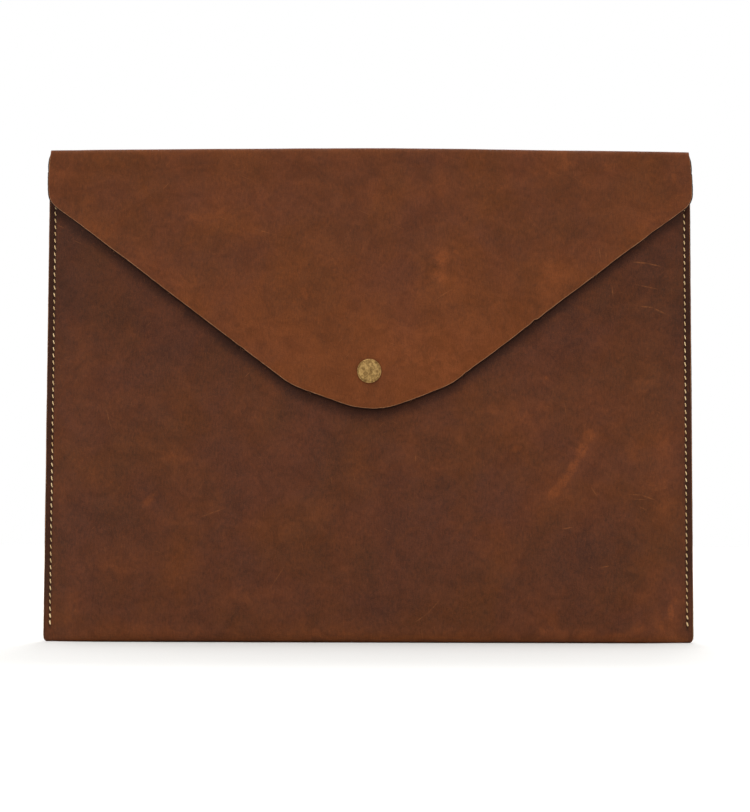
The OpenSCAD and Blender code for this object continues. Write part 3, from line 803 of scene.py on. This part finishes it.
def make_back():
    xs = COLS
    P, S = [], []
    ym0 = front_mid_y(xs, np.full_like(xs, ROWS_FRONT[-1]))
    # the bottom-most line is the same as on the front piece
    z0 = ROWS_FRONT[-1]
    hw = HALF_W - 0.6 + edge_wave(z0, 41) * 0.8
    hwl = HALF_W - 0.5 + edge_wave(z0, 47) * 0.8
    x_last = np.where(xs > 0, xs - (HALF_W - hw) * sstep(HALF_W - 2.2, HALF_W, xs), xs + (HALF_W - hwl) * sstep(HALF_W - 2.2, HALF_W, -xs))

    def back_x(z):
        h1 = HALF_W - 0.1 + edge_wave(z, 43) * 0.5
        h2 = HALF_W - 0.1 + edge_wave(z, 49) * 0.5
        return np.where(xs > 0, xs - (HALF_W - h1) * sstep(HALF_W - 2.2, HALF_W, xs), xs + (HALF_W - h2) * sstep(HALF_W - 2.2, HALF_W, -xs))

    for a in np.linspace(math.pi / 2, math.pi, 9):
        f = (a - math.pi / 2) / (math.pi / 2)
        xb = x_last * (1 - f) + back_x(STITCH_Z0) * f
        y, z, r = fold_point(x_last, a, ym0)
        inset = bottom_corner(z - T / 2)
        x = xb - np.sign(xb) * inset * sstep(HALF_W - 6, HALF_W - 0.5, np.abs(xb))
        P.append(np.stack([x, y, z], -1))
        S.append(MOUTH_Z - (r + T / 2) + r * a)
    z_first = ROWS_BACK[0]
    for f in (0.3, 0.65):
        zc = P[8][:, 2]
        zz = zc + (z_first - zc) * f
        xb = back_x(STITCH_Z0)
        P.append(np.stack([xb, back_mid_y(xb, zz), zz], -1))
        S.append(PL["up0"] + zz - (PL["r"] + T / 2))
    for z in ROWS_BACK:
        x = back_x(z)
        x = x * (narrow(z) / HALF_W)
        zz = np.full_like(x, z) - arch(x) * sstep(200, Z_TOP - CREASE_R, z)
        P.append(np.stack([x, back_mid_y(x, np.full_like(x, z)), zz], -1))
        S.append(np.full_like(x, PL["up0"] + z - (PL["r"] + T / 2)))
    x_top = P[-1][:, 0]
    rc = PL["rc"]
    for a in np.linspace(0, math.pi / 2, 13)[1:]:
        y = (Y_BACK - CREASE_R) + rc * np.cos(a)
        z = (Z_TOP - CREASE_R) + rc * np.sin(a) - arch(x_top) + crease_wave(x_top) * math.sin(a)
        P.append(np.stack([x_top, np.full_like(x_top, y), z], -1))
        S.append(np.full_like(x_top, PL["crease0"] + rc * a))
    y_a, y_b = Y_BACK - CREASE_R, (Y_BACK + Y_FLAP) / 2
    for f in (0.33, 0.66, 1.0):
        y = y_a + (y_b - y_a) * f
        z = Z_TOP - T / 2 - arch(x_top) + crease_wave(x_top)
        P.append(np.stack([x_top, np.full_like(x_top, y), z], -1))
        S.append(np.full_like(x_top, PL["spine0"] + (y_a - y)))
    P, S = np.array(P), np.array(S)
    nv, nu, _ = P.shape
    x, z = P[..., 0], P[..., 2]
    lift = dimples(x, z, 0.30) * sstep(0, 1, P[..., 1] - Y_BACK_MID + 2) - 0.04 + 0.04 * fbm(x, z, 14, 63, 2)
    lift[-15:] *= np.linspace(1, 0, 15)[:, None]
    rim = HALF_W * 0 + (np.abs(x[:, -1:]) - np.abs(x))
    f_bot = 0.75 * np.exp(-((z / 3.6) ** 2)) * (0.55 + 0.45 * vnoise(x, 0 * x, 26, 71))
    f_top = 0.62 * np.exp(-((np.maximum(S * 0 + Z_TOP - z, 0) / 3.4) ** 2)) * (0.62 + 0.38 * vnoise(x, 0 * x, 30, 73))
    fold = np.clip(np.maximum(f_bot, f_top), 0, 1) * sstep(0.3, 5, rim)
    paint = paint_for(P, S, "back", np.maximum(rim, 0), fold)
    left = [(v, 0, v, 1) for v in range(nv)]
    right = [(v, nu - 1, v, nu - 2) for v in range(nv)]
    return Slab("hide_back", P, S, -1.0, lift, [left, right], [0, nv - 1], paint, seed=111, rim_stain_and_shadow=0.5).obj


# ---------------------------------------------------------------- half the top, front crease, flap


def flap_outline():
    """The flap's lower edge as dense (x, z) points for x from 0 to its widest, as the CAD draws it."""
    tip_r, tip_slope, edge_slope, shoulder_r, corner_r, dx = 42.0, 20.0, 37.3, 52.0, 9.0, 17.0
    rad = math.radians
    pts = [(tip_r * math.sin(rad(a)), TIP_Z + tip_r * (1 - math.cos(rad(a)))) for a in np.linspace(0, tip_slope, 24)]
    x1, z1 = pts[-1]
    x0, z0 = x1 + dx, z1 + dx * math.tan(rad(tip_slope))
    cx, cz = x0 - shoulder_r * math.sin(rad(tip_slope)), z0 + shoulder_r * math.cos(rad(tip_slope))
    pts += [(cx + shoulder_r * math.sin(rad(a)), cz - shoulder_r * math.cos(rad(a))) for a in np.linspace(tip_slope, edge_slope, 24)]
    sx, sz = pts[-1]
    ccx = FLAP_HALF - corner_r
    ex = ccx + corner_r * math.sin(rad(edge_slope))
    ez = sz + (ex - sx) * math.tan(rad(edge_slope))
    ccz = ez + corner_r * math.cos(rad(edge_slope))
    pts += [(ccx + corner_r * math.sin(rad(a)), ccz - corner_r * math.cos(rad(a))) for a in np.linspace(edge_slope, 90, 40)]
    return np.array(pts), ccx, ccz, corner_r, edge_slope


OUT, CORNER_X, CORNER_Z, CORNER_R, EDGE_SLOPE = flap_outline()


def flap_edge_z(x, side):
    z = np.interp(np.abs(x), OUT[:, 0], OUT[:, 1])
    # hand-cut edge: slow drift, small waver, and one nick
    w = 0.35 * vnoise(x, 0 * x + 3, 46, 81) + 0.16 * vnoise(x, 0 * x + 9, 9, 83) + 0.07 * vnoise(x, 0 * x, 2.6, 85)
    w = w * sstep(0, 10, FLAP_HALF - np.abs(x))
    nick = 0.75 * np.exp(-(((x - 81.0) / 0.9) ** 2)) - 0.25 * np.exp(-(((x - 83.4) / 1.1) ** 2))
    nick += 0.35 * np.exp(-(((x - 47.0) / 0.8) ** 2)) + 0.3 * np.exp(-(((x + 63.0) / 1.0) ** 2)) - 0.2 * np.exp(-(((x + 108.0) / 1.3) ** 2))
    return z + w + nick


def flap_half(z):
    zt = Z_TOP - CREASE_R
    k = np.clip((zt - z) / (zt - CORNER_Z), 0, 1)
    return FOLD_HALF + (FLAP_HALF + 0.25 - FOLD_HALF) * np.sin(k * math.pi / 2)


def soft_min(a, b, k):
    h = np.clip(0.5 + 0.5 * (b - a) / k, 0, 1)
    return b * (1 - h) + a * h - k * h * (1 - h)


def flap_mid_y(x, z):
    """Drapes over the front panel with its free edge resting on it, and stands off for the snap."""
    drop = np.maximum(Z_TOP - CREASE_R - z, 0)
    rest = front_mid_y(x, z) - T - 0.95
    away = np.maximum(rest - Y_FLAP_MID, 0)
    away = soft_min(away, 0.215 * drop * sstep(0, 9, drop), 1.6)
    snap = sstep(9, 44, np.hypot(x, z - SNAP_Z))
    away = np.maximum(away, 0) * (0.04 + 0.96 * snap)
    wav = -0.30 * (0.5 + 0.5 * fbm(x, z, 46, 91, 3)) * sstep(4, 30, drop) * sstep(9, 24, np.hypot(x, z - SNAP_Z))
    ze = np.interp(np.abs(x), OUT[:, 0], OUT[:, 1])
    return Y_FLAP_MID + away + wav * sstep(1, 14, z - ze)


def make_flap():
    a = np.arange(-149.6, 149.61, 1.1)
    ph = np.radians(np.linspace(EDGE_SLOPE, 90, 13))
    ends = CORNER_X + CORNER_R * np.sin(ph)
    ends = np.concatenate([np.array([150.6, 151.8, 153.0, 154.2, 155.4]), ends[ends > 155.9]])
    us = np.concatenate([-ends[::-1], a, ends]) / FLAP_HALF
    nu = len(us)
    rc = PL["rc"]
    P, S = [], []
    x_top = us * FOLD_HALF
    y_b, y_a = (Y_BACK + Y_FLAP) / 2, Y_FLAP + CREASE_R
    for f in (0.0, 0.33, 0.66):
        y = y_b + (y_a - y_b) * f
        z = Z_TOP - T / 2 - arch(x_top) + crease_wave(x_top)
        P.append(np.stack([x_top, np.full_like(x_top, y), z], -1))
        S.append(np.full_like(x_top, PL["spine_mid"] + (y_b - y)))
    for t in np.linspace(0, math.pi / 2, 13)[:-1]:
        y = y_a - rc * math.sin(t)
        z = (Z_TOP - CREASE_R) + rc * math.cos(t) - arch(x_top) + crease_wave(x_top) * math.cos(t)
        P.append(np.stack([x_top, np.full_like(x_top, y), z], -1))
        S.append(np.full_like(x_top, PL["flap_crease0"] + rc * t))
    zt = Z_TOP - CREASE_R
    n_v = 104
    v = np.linspace(0, 1, n_v)
    v = np.concatenate([v[:-1] ** 1.0, [0.9955, 1.0]])
    x_e = us * FLAP_HALF
    z_e = flap_edge_z(x_e, 0) + 0.75
    for k in v:
        z = zt - k * (zt - z_e)
        x = us * flap_half(z)
        # the side edges bulge softly, and the flap sits a touch to the right
        x = x + (0.62 - 0.45 * sstep(0, 1, x / FLAP_HALF * 4)) * sstep(0, 30, zt - z) + 0.15 * np.sign(x) * vnoise(z, 0 * z + 5, 12, 87) * sstep(150, 160, np.abs(x))
        zz = z - arch(x_top) * sstep(40, 0, zt - z)
        P.append(np.stack([x, flap_mid_y(x, z), zz], -1))
        S.append(PL["flap0"] + zt - z)
    P, S = np.array(P), np.array(S)
    nv = len(P)
    x, z = P[..., 0], P[..., 2]
    # distance to the free edge, roughly
    ze = z_e[None, :]
    slope = np.interp(np.abs(x_e), [0, 40, 50, 156, 160], [1.0, 0.93, 0.80, 0.80, 0.4])[None, :]
    rim = np.minimum((z - ze) * slope, np.abs(x[:, -1:]) - np.abs(x) + 0.0)
    rim = np.where(z > zt, np.abs(x[:, -1:]) - np.abs(x), rim)
    lift = 0.045 * fbm(x, z, 13, 65, 2)
    # the cut edge is compressed, and the rivet draws the leather in around its cap
    lift = lift - 0.16 * np.exp(-((np.maximum(rim, 0) / 0.9) ** 2))
    rr = np.hypot(x, z - SNAP_Z)
    lift = lift - 0.12 * np.exp(-(((rr - CAP_R) / 1.6) ** 2))
    lift[:12] *= np.linspace(0, 1, 12)[:, None]
    top = np.exp(-((np.maximum(Z_TOP - z, 0) / 3.4) ** 2))
    fold = np.clip(0.62 * top * (0.62 + 0.38 * vnoise(x, 0 * x, 30, 73)), 0, 1) * sstep(0.3, 5, np.maximum(rim, 0) + 2)
    paint = paint_for(P, S, "flap", np.maximum(rim, 0), fold)
    chain = [(i, 0, i, 1) for i in range(nv)] + [(nv - 1, u, nv - 2, u) for u in range(1, nu)] + [(i, nu - 1, i, nu - 2) for i in range(nv - 2, -1, -1)]
    # rim value 1.0 paints the flap's cut edge darker: a real dark stain plus painted shadow where the flap lies over
    # the front
    return Slab("hide_flap", P, S, -1.0, lift, [chain], [0], paint, seed=121, ragged=0.07, profile=Slab.BEVEL, rim_stain_and_shadow=1.0, taper=34).obj


# ---------------------------------------------------------------- sewing thread


def tube(path, radius, n_around=12, plies=3, twist=2.4, lobe=0.13, phase=0.0):
    """Vertices, faces and strand coordinates of a twisted thread along a path of points in mm."""
    path = np.asarray(path, float)
    t = np.gradient(path, axis=0)
    t = unit(t)
    up = np.array([0.0, 1.0, 0.0])
    side = unit(np.cross(t, up))
    upv = unit(np.cross(side, t))
    arc = np.concatenate([[0], np.cumsum(np.linalg.norm(np.diff(path, axis=0), axis=1))])
    th = np.linspace(0, 2 * math.pi, n_around, endpoint=False)
    rad = np.asarray(radius) * np.ones(len(path))
    V, uv = [], []
    for i, p in enumerate(path):
        r = rad[i] * (1 + lobe * np.cos(plies * th + twist * plies * arc[i] + phase))
        V.append(p + side[i] * (r * np.cos(th))[:, None] + upv[i] * (r * np.sin(th))[:, None])
        uv.append(np.stack([th / (2 * math.pi), np.full_like(th, (arc[i] * twist + phase / plies) / 3.0), np.zeros_like(th)], -1))
    n, m = len(path), n_around
    idx = np.arange(n * m).reshape(n, m)
    nxt = np.roll(idx, -1, axis=1)
    F = np.stack([idx[:-1].ravel(), nxt[:-1].ravel(), nxt[1:].ravel(), idx[1:].ravel()], 1).tolist()
    F += [list(map(int, idx[0][::-1])), list(map(int, idx[-1]))]
    return np.concatenate(V), F, np.concatenate(uv)


def stitch_path(side, i, out, y_face, rng, shift=0.0):
    """Centre line of one stitch, from hole i to hole i + 1, slanting down to the right as seen from outside."""
    z0, z1 = STITCH_Z0 + i * PITCH, STITCH_Z0 + (i + 1) * PITCH
    lean = 0.26
    right = 1.0 if out < 0 else -1.0  # +x is to the right from the front, to the left from the back
    xs = side * STITCH_X + shift
    jx, jz = rng.uniform(-0.07, 0.07, 2), rng.uniform(-0.10, 0.10, 2)
    lo = np.array([xs + right * lean + jx[0], z0 + 0.74 + jz[0]])
    hi = np.array([xs - right * lean + jx[1], z1 - 0.74 + jz[1]])
    t = np.linspace(0, 1, 15)
    h = rng.uniform(-0.04, 0.04)
    body = np.sin(np.clip(t, 0, 1) * math.pi) ** 0.42
    rise = -0.62 + (0.70 + h) * body
    x = lo[0] + (hi[0] - lo[0]) * t + 0.05 * np.sin(t * math.pi) * rng.uniform(-1, 1)
    z = lo[1] + (hi[1] - lo[1]) * t
    y = y_face + out * rise
    return np.stack([x, y, z], -1)


def make_thread(name, side, out, y_face, node, seed):
    rng = np.random.RandomState(seed)
    V, F, UV, base = [], [], [], 0
    jobs = [(i, 0.0) for i in range(N_STITCH)]
    # the seam is locked by sewing back over its last stitches at both ends
    jobs += [(0, 0.26), (1, 0.22), (N_STITCH - 1, -0.26), (N_STITCH - 2, -0.22)]
    for i, shift in jobs:
        p = stitch_path(side, i, out, y_face, rng, shift)
        n = len(p)
        t = np.linspace(0, 1, n)
        radius = 0.215 + 0.05 * np.sin(t * math.pi) + rng.uniform(-0.012, 0.012)
        v, f, uv = tube(p, radius, phase=rng.uniform(0, 6.28))
        V.append(v)
        UV.append(uv)
        F += [[a + base for a in q] for q in f]
        base += len(v)
    V = np.concatenate(V)
    me = bpy.data.meshes.new(name)
    me.from_pydata((V * MM).tolist(), [], F)
    me.polygons.foreach_set("use_smooth", np.ones(len(F), bool))
    a = me.attributes.new("strand_co", "FLOAT_VECTOR", "POINT")
    a.data.foreach_set("vector", (V * MM).astype(np.float32).ravel())
    a = me.attributes.new("strand_uv", "FLOAT_VECTOR", "POINT")
    a.data.foreach_set("vector", np.concatenate(UV).astype(np.float32).ravel())
    me.validate()
    me.materials.append(THREAD)
    o = bpy.data.objects.new(name, me)
    bpy.context.scene.collection.objects.link(o)
    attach(o, "pouch")
    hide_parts(node)
    return o


# ---------------------------------------------------------------- the snap


def rounded(profile, r=0.12, n=4):
    """Rounds the corners of an open (radius, y) profile."""
    p = [np.array(q, float) for q in profile]
    out = [p[0]]
    for a, b, c in zip(p[:-2], p[1:-1], p[2:]):
        la, lc = np.linalg.norm(a - b), np.linalg.norm(c - b)
        k = min(r, la * 0.45, lc * 0.45)
        s, e = b + (a - b) / la * k, b + (c - b) / lc * k
        for t in np.linspace(0, 1, n + 1):
            out.append((1 - t) ** 2 * s + 2 * t * (1 - t) * b + t * t * e)
    out.append(p[-1])
    return np.array(out)


def turned(name, profile, material, body, node, closed=True, segs=96, ripple=0.0, seed=1):
    """A part turned about the snap's axis, from a (radius, y) profile that starts and ends on the axis or closes on itself."""
    pr = np.asarray(profile, float)
    th = np.linspace(0, 2 * math.pi, segs, endpoint=False)
    V, rows = [], []
    for r, y in pr:
        if r < 1e-6:
            rows.append([len(V)])
            V.append([0.0, y, SNAP_Z])
            continue
        row = []
        for k, a in enumerate(th):
            w = ripple * float(vnoise(np.array(r * math.cos(a)), np.array(r * math.sin(a)), 2.2, seed))
            row.append(len(V))
            V.append([r * math.cos(a), y + w, SNAP_Z + r * math.sin(a)])
        rows.append(row)
    F = []
    pairs = list(zip(rows[:-1], rows[1:]))
    if pr[0][0] > 1e-6 and pr[-1][0] > 1e-6:
        pairs.append((rows[-1], rows[0]))
    for a, b in pairs:
        if len(a) == 1 and len(b) == 1:
            continue
        for k in range(segs):
            j = (k + 1) % segs
            if len(a) == 1:
                F.append([a[0], b[j], b[k]])
            elif len(b) == 1:
                F.append([a[k], a[j], b[0]])
            else:
                F.append([a[k], a[j], b[j], b[k]])
    me = bpy.data.meshes.new(name)
    me.from_pydata((np.array(V) * MM).tolist(), [], F)
    me.validate()
    import bmesh

    bm = bmesh.new()
    bm.from_mesh(me)
    bmesh.ops.recalc_face_normals(bm, faces=bm.faces)
    for f in bm.faces:
        f.smooth = True
    bm.to_mesh(me)
    bm.free()
    me.materials.append(material)
    o = bpy.data.objects.new(name, me)
    bpy.context.scene.collection.objects.link(o)
    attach(o, body)
    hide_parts(node)
    return o


def make_snap():
    y0 = Y_FLAP
    # outer cap: low dome with a rolled rim, seated in the leather, and its post
    dome = [(0.0, CAP_Y)]
    rise = (Y_FLAP - 0.5) - CAP_Y
    R = (CAP_R**2 + rise**2) / (2 * rise)
    for r in np.linspace(0, CAP_R - 0.75, 12)[1:]:
        dome.append((r, CAP_Y + R - math.sqrt(R * R - r * r)))
    dome += [(CAP_R - 0.62, CAP_Y + rise * 0.98), (CAP_R - 0.5, CAP_Y + rise * 0.84), (CAP_R - 0.28, CAP_Y + rise * 0.80), (CAP_R - 0.06, CAP_Y + rise * 0.98), (CAP_R, y0 - 0.36), (CAP_R - 0.05, y0 - 0.02), (CAP_R - 0.35, y0 + 0.12), (1.1, y0 + 0.12), (1.1, y0 + T), (0.0, y0 + T)]
    turned("snap_outer_cap", rounded(dome, 0.10, 3), BRASS, "flap", "snap_cap", ripple=0.03, seed=7)
    # stud half: plate with a raised rim, and the stud with a chamfered nose
    y1 = Y_FLAP + T
    stud_r = SOCKET_HOLE_R - 0.35
    p = [(0.0, STUD_Y1 - 0.22), (0.9, STUD_Y1 - 0.22), (1.15, STUD_Y1), (stud_r - 0.35, STUD_Y1), (stud_r, STUD_Y1 - 0.32), (stud_r - 0.12, y1 + PLATE_T + 0.05), (stud_r + 0.35, y1 + PLATE_T - 0.02),
         (SOCK_R - 1.3, y1 + PLATE_T - 0.02), (SOCK_R - 1.1, y1 + PLATE_T - 0.16), (SOCK_R - 0.75, y1 + PLATE_T - 0.16), (SOCK_R - 0.5, y1 + PLATE_T), (SOCK_R - 0.1, y1 + PLATE_T - 0.12), (SOCK_R, y1 + 0.3), (SOCK_R - 0.08, y1 + 0.0), (1.5, y1 + 0.0), (1.5, y1 - T + 0.1), (1.1, y1 - T + 0.1), (1.1, y1 + 0.2), (0.0, y1 + 0.2)]
    turned("snap_stud_half", rounded(p, 0.10, 3), BRASS_IN, "flap", "snap_stud", ripple=0.01, seed=9)
    # socket half: a cup with a rolled outer edge and a lipped hole
    y2, y3 = SOCK_Y0, Y_FRONT
    h = SOCKET_HOLE_R
    p = [(h, y3 - 0.02), (h, y2 + 0.42), (h + 0.14, y2 + 0.12), (h + 0.42, y2), (h + 0.75, y2 + 0.10), (h + 1.0, y2 + 0.16), (SOCK_R - 1.1, y2 + 0.12), (SOCK_R - 0.75, y2 + 0.02), (SOCK_R - 0.3, y2 + 0.06), (SOCK_R - 0.02, y2 + 0.42), (SOCK_R, y3 - 0.25), (SOCK_R - 0.1, y3 + 0.04), (SOCK_R - 0.45, y3 + 0.04)]
    turned("snap_socket_half", rounded(p, 0.10, 3), BRASS_IN, "pouch", "snap_socket", ripple=0.01, seed=11)
    # base plate in the socket's hole, post, and the head inside the pocket
    yi = Y_FRONT + T
    p = [(0.0, y3 - 0.30), (h - 0.5, y3 - 0.30), (h - 0.02, y3 - 0.12), (h - 0.02, y3 + 0.02), (1.5, y3 + 0.02), (1.5, yi - 0.02), (HEAD_R - 0.15, yi - 0.02), (HEAD_R, yi + 0.2), (HEAD_R - 0.5, HEAD_Y1 - 0.08), (HEAD_R - 1.4, HEAD_Y1), (1.6, HEAD_Y1), (1.2, HEAD_Y1 - 0.2), (0.0, HEAD_Y1 - 0.2)]
    turned("snap_inner_rivet", rounded(p, 0.10, 3), BRASS, "pouch", "snap_rivet", ripple=0.015, seed=13)
    m = frame["nodes"]["snap_magnet"]
    m.data.materials.clear()
    m.data.materials.append(magnet_material())


# ---------------------------------------------------------------- loose fibres on the cut edge


def make_fibres():
    rng = np.random.RandomState(5)
    V, F, UV, base = [], [], [], 0
    spots = [(46.5, 5), (47.4, 4), (81.4, 3), (64.0, 2), (112.0, 2), (22.0, 2), (-30.0, 2), (-63.0, 3), (-99.0, 2), (-128.0, 2), (136.0, 2)]
    for x, count in spots:
        for _ in range(count):
            xx = x + rng.uniform(-1.0, 1.0)
            z = float(flap_edge_z(np.array(xx), 0))
            y = float(flap_mid_y(np.array(xx), np.array(z))) + rng.uniform(-0.5, 0.7)
            ang = rng.uniform(-0.9, 0.9) - 0.6 * np.sign(xx)
            L = rng.uniform(0.5, 1.5)
            t = np.linspace(-0.25, 1, 8)
            bend = rng.uniform(-0.6, 0.6)
            px = xx + L * t * math.sin(ang) + bend * t * t
            pz = z - L * t * math.cos(ang)
            py = y + rng.uniform(-0.3, 0.3) * t * t
            v, f, uv = tube(np.stack([px, py, pz], -1), 0.055 * (1.15 - 0.8 * np.clip(t, 0, 1)), n_around=6, lobe=0.0)
            V.append(v)
            F += [[a + base for a in q] for q in f]
            base += len(v)
    V = np.concatenate(V)
    me = bpy.data.meshes.new("edge_fibres")
    me.from_pydata((V * MM).tolist(), [], F)
    me.polygons.foreach_set("use_smooth", np.ones(len(F), bool))
    hc = V.copy()
    hc[:, 1], hc[:, 2] = V[:, 2], 0.9
    a = me.attributes.new("hide_co", "FLOAT_VECTOR", "POINT")
    a.data.foreach_set("vector", (hc * MM).astype(np.float32).ravel())
    for k in PAINTS:
        me.attributes.new(k, "FLOAT", "POINT")
    me.validate()
    me.materials.append(RAW)
    o = bpy.data.objects.new("edge_fibres", me)
    bpy.context.scene.collection.objects.link(o)
    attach(o, "flap")
    return o


# ---------------------------------------------------------------- build everything

front = make_front()
back = make_back()
flap = make_flap()
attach(front, "pouch")
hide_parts("front_panel", "front_border_left", "front_border_right", "bottom_fold")
# the back crease and the front crease are built as fixed arcs in the hide; the hinge positions read here are not used
joints = {j["name"]: np.array(j["pos_m"]) * 1000 for j in frame["joints"]}
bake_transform(back)
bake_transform(flap)
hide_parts("back_panel")
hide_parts("flap_fold", "flap")
make_thread("seam_front_left", -1, -1, Y_MARGIN, "thread_front_left", 201)
make_thread("seam_front_right", 1, -1, Y_MARGIN, "thread_front_right", 202)
make_thread("seam_back_left", -1, 1, Y_BACK - 0.12, "thread_back_left", 203)
make_thread("seam_back_right", 1, 1, Y_BACK - 0.12, "thread_back_right", 204)
make_snap()
make_fibres()

# ---------------------------------------------------------------- stage, light, camera

scene = bpy.context.scene
me = bpy.data.meshes.new("floor")
me.from_pydata([(-30, -30, 0), (30, -30, 0), (30, 50, 0), (-30, 50, 0)], [], [(0, 1, 2, 3)])
floor = bpy.data.objects.new("floor", me)
scene.collection.objects.link(floor)
ft = Tree("floor_paper")
fco = ft.node("TexCoord").outputs["Object"]
ft.put(ft.bsdf.inputs["Base Color"], ft.mix(ft.noise(fco, 60.0, 4.0, 0.6), (0.752, 0.747, 0.730, 1), (0.766, 0.761, 0.744, 1)))
ft.bsdf.inputs["Roughness"].default_value = 0.8
ft.bsdf.inputs["Specular IOR Level"].default_value = 0.1
me.materials.append(ft.mat)

world = bpy.data.worlds.new("studio")
scene.world = world
world.use_nodes = True
world.node_tree.nodes["Background"].inputs["Color"].default_value = (1, 1, 1, 1)
world.node_tree.nodes["Background"].inputs["Strength"].default_value = 1.0


def area(name, loc, target, size, power, colour=(1, 1, 1)):
    li = bpy.data.lights.new(name, "AREA")
    li.shape, li.size, li.size_y = "RECTANGLE", size[0], size[1]
    li.energy, li.color = power, colour
    o = bpy.data.objects.new(name, li)
    scene.collection.objects.link(o)
    o.location = loc
    o.rotation_euler = (Vector(target) - Vector(loc)).to_track_quat("-Z", "Y").to_euler()
    return o


sun = bpy.data.lights.new("overhead_bank", "SUN")
sun.energy, sun.angle = 1.22, math.radians(50)
overhead = bpy.data.objects.new("overhead_bank", sun)
scene.collection.objects.link(overhead)
overhead.rotation_euler = Vector((0.08, 0.20, -1.0)).to_track_quat("-Z", "Y").to_euler()
rear = bpy.data.lights.new("rear_bank", "SUN")
rear.energy, rear.angle = 0.95, math.radians(16)
behind = bpy.data.objects.new("rear_bank", rear)
scene.collection.objects.link(behind)
behind.rotation_euler = Vector((-0.06, -0.86, -1.0)).to_track_quat("-Z", "Y").to_euler()
area("key_softbox", (-0.7, -1.3, 1.3), (0, 0, 0.12), (0.8, 0.8), 1.5)

cam = bpy.data.cameras.new("camera")
camera = bpy.data.objects.new("camera", cam)
scene.collection.objects.link(camera)
cam.sensor_width = 36.0
cam.lens = 89.62
cam.clip_start, cam.clip_end = 0.05, 60.0
roll = math.radians(0.17)
pitch = math.radians(3.93)
cam_pos = Vector((0.0029, -1.0, 0.048))
camera.matrix_world = Matrix.Translation(cam_pos) @ Matrix.Rotation(math.pi / 2 + pitch, 4, "X") @ Matrix.Rotation(roll, 4, "Z")
scene.camera = camera
scene.view_settings.view_transform = "Standard"
scene.view_settings.look = "None"
scene.view_settings.exposure = 0.0
scene.view_settings.gamma = 1.0
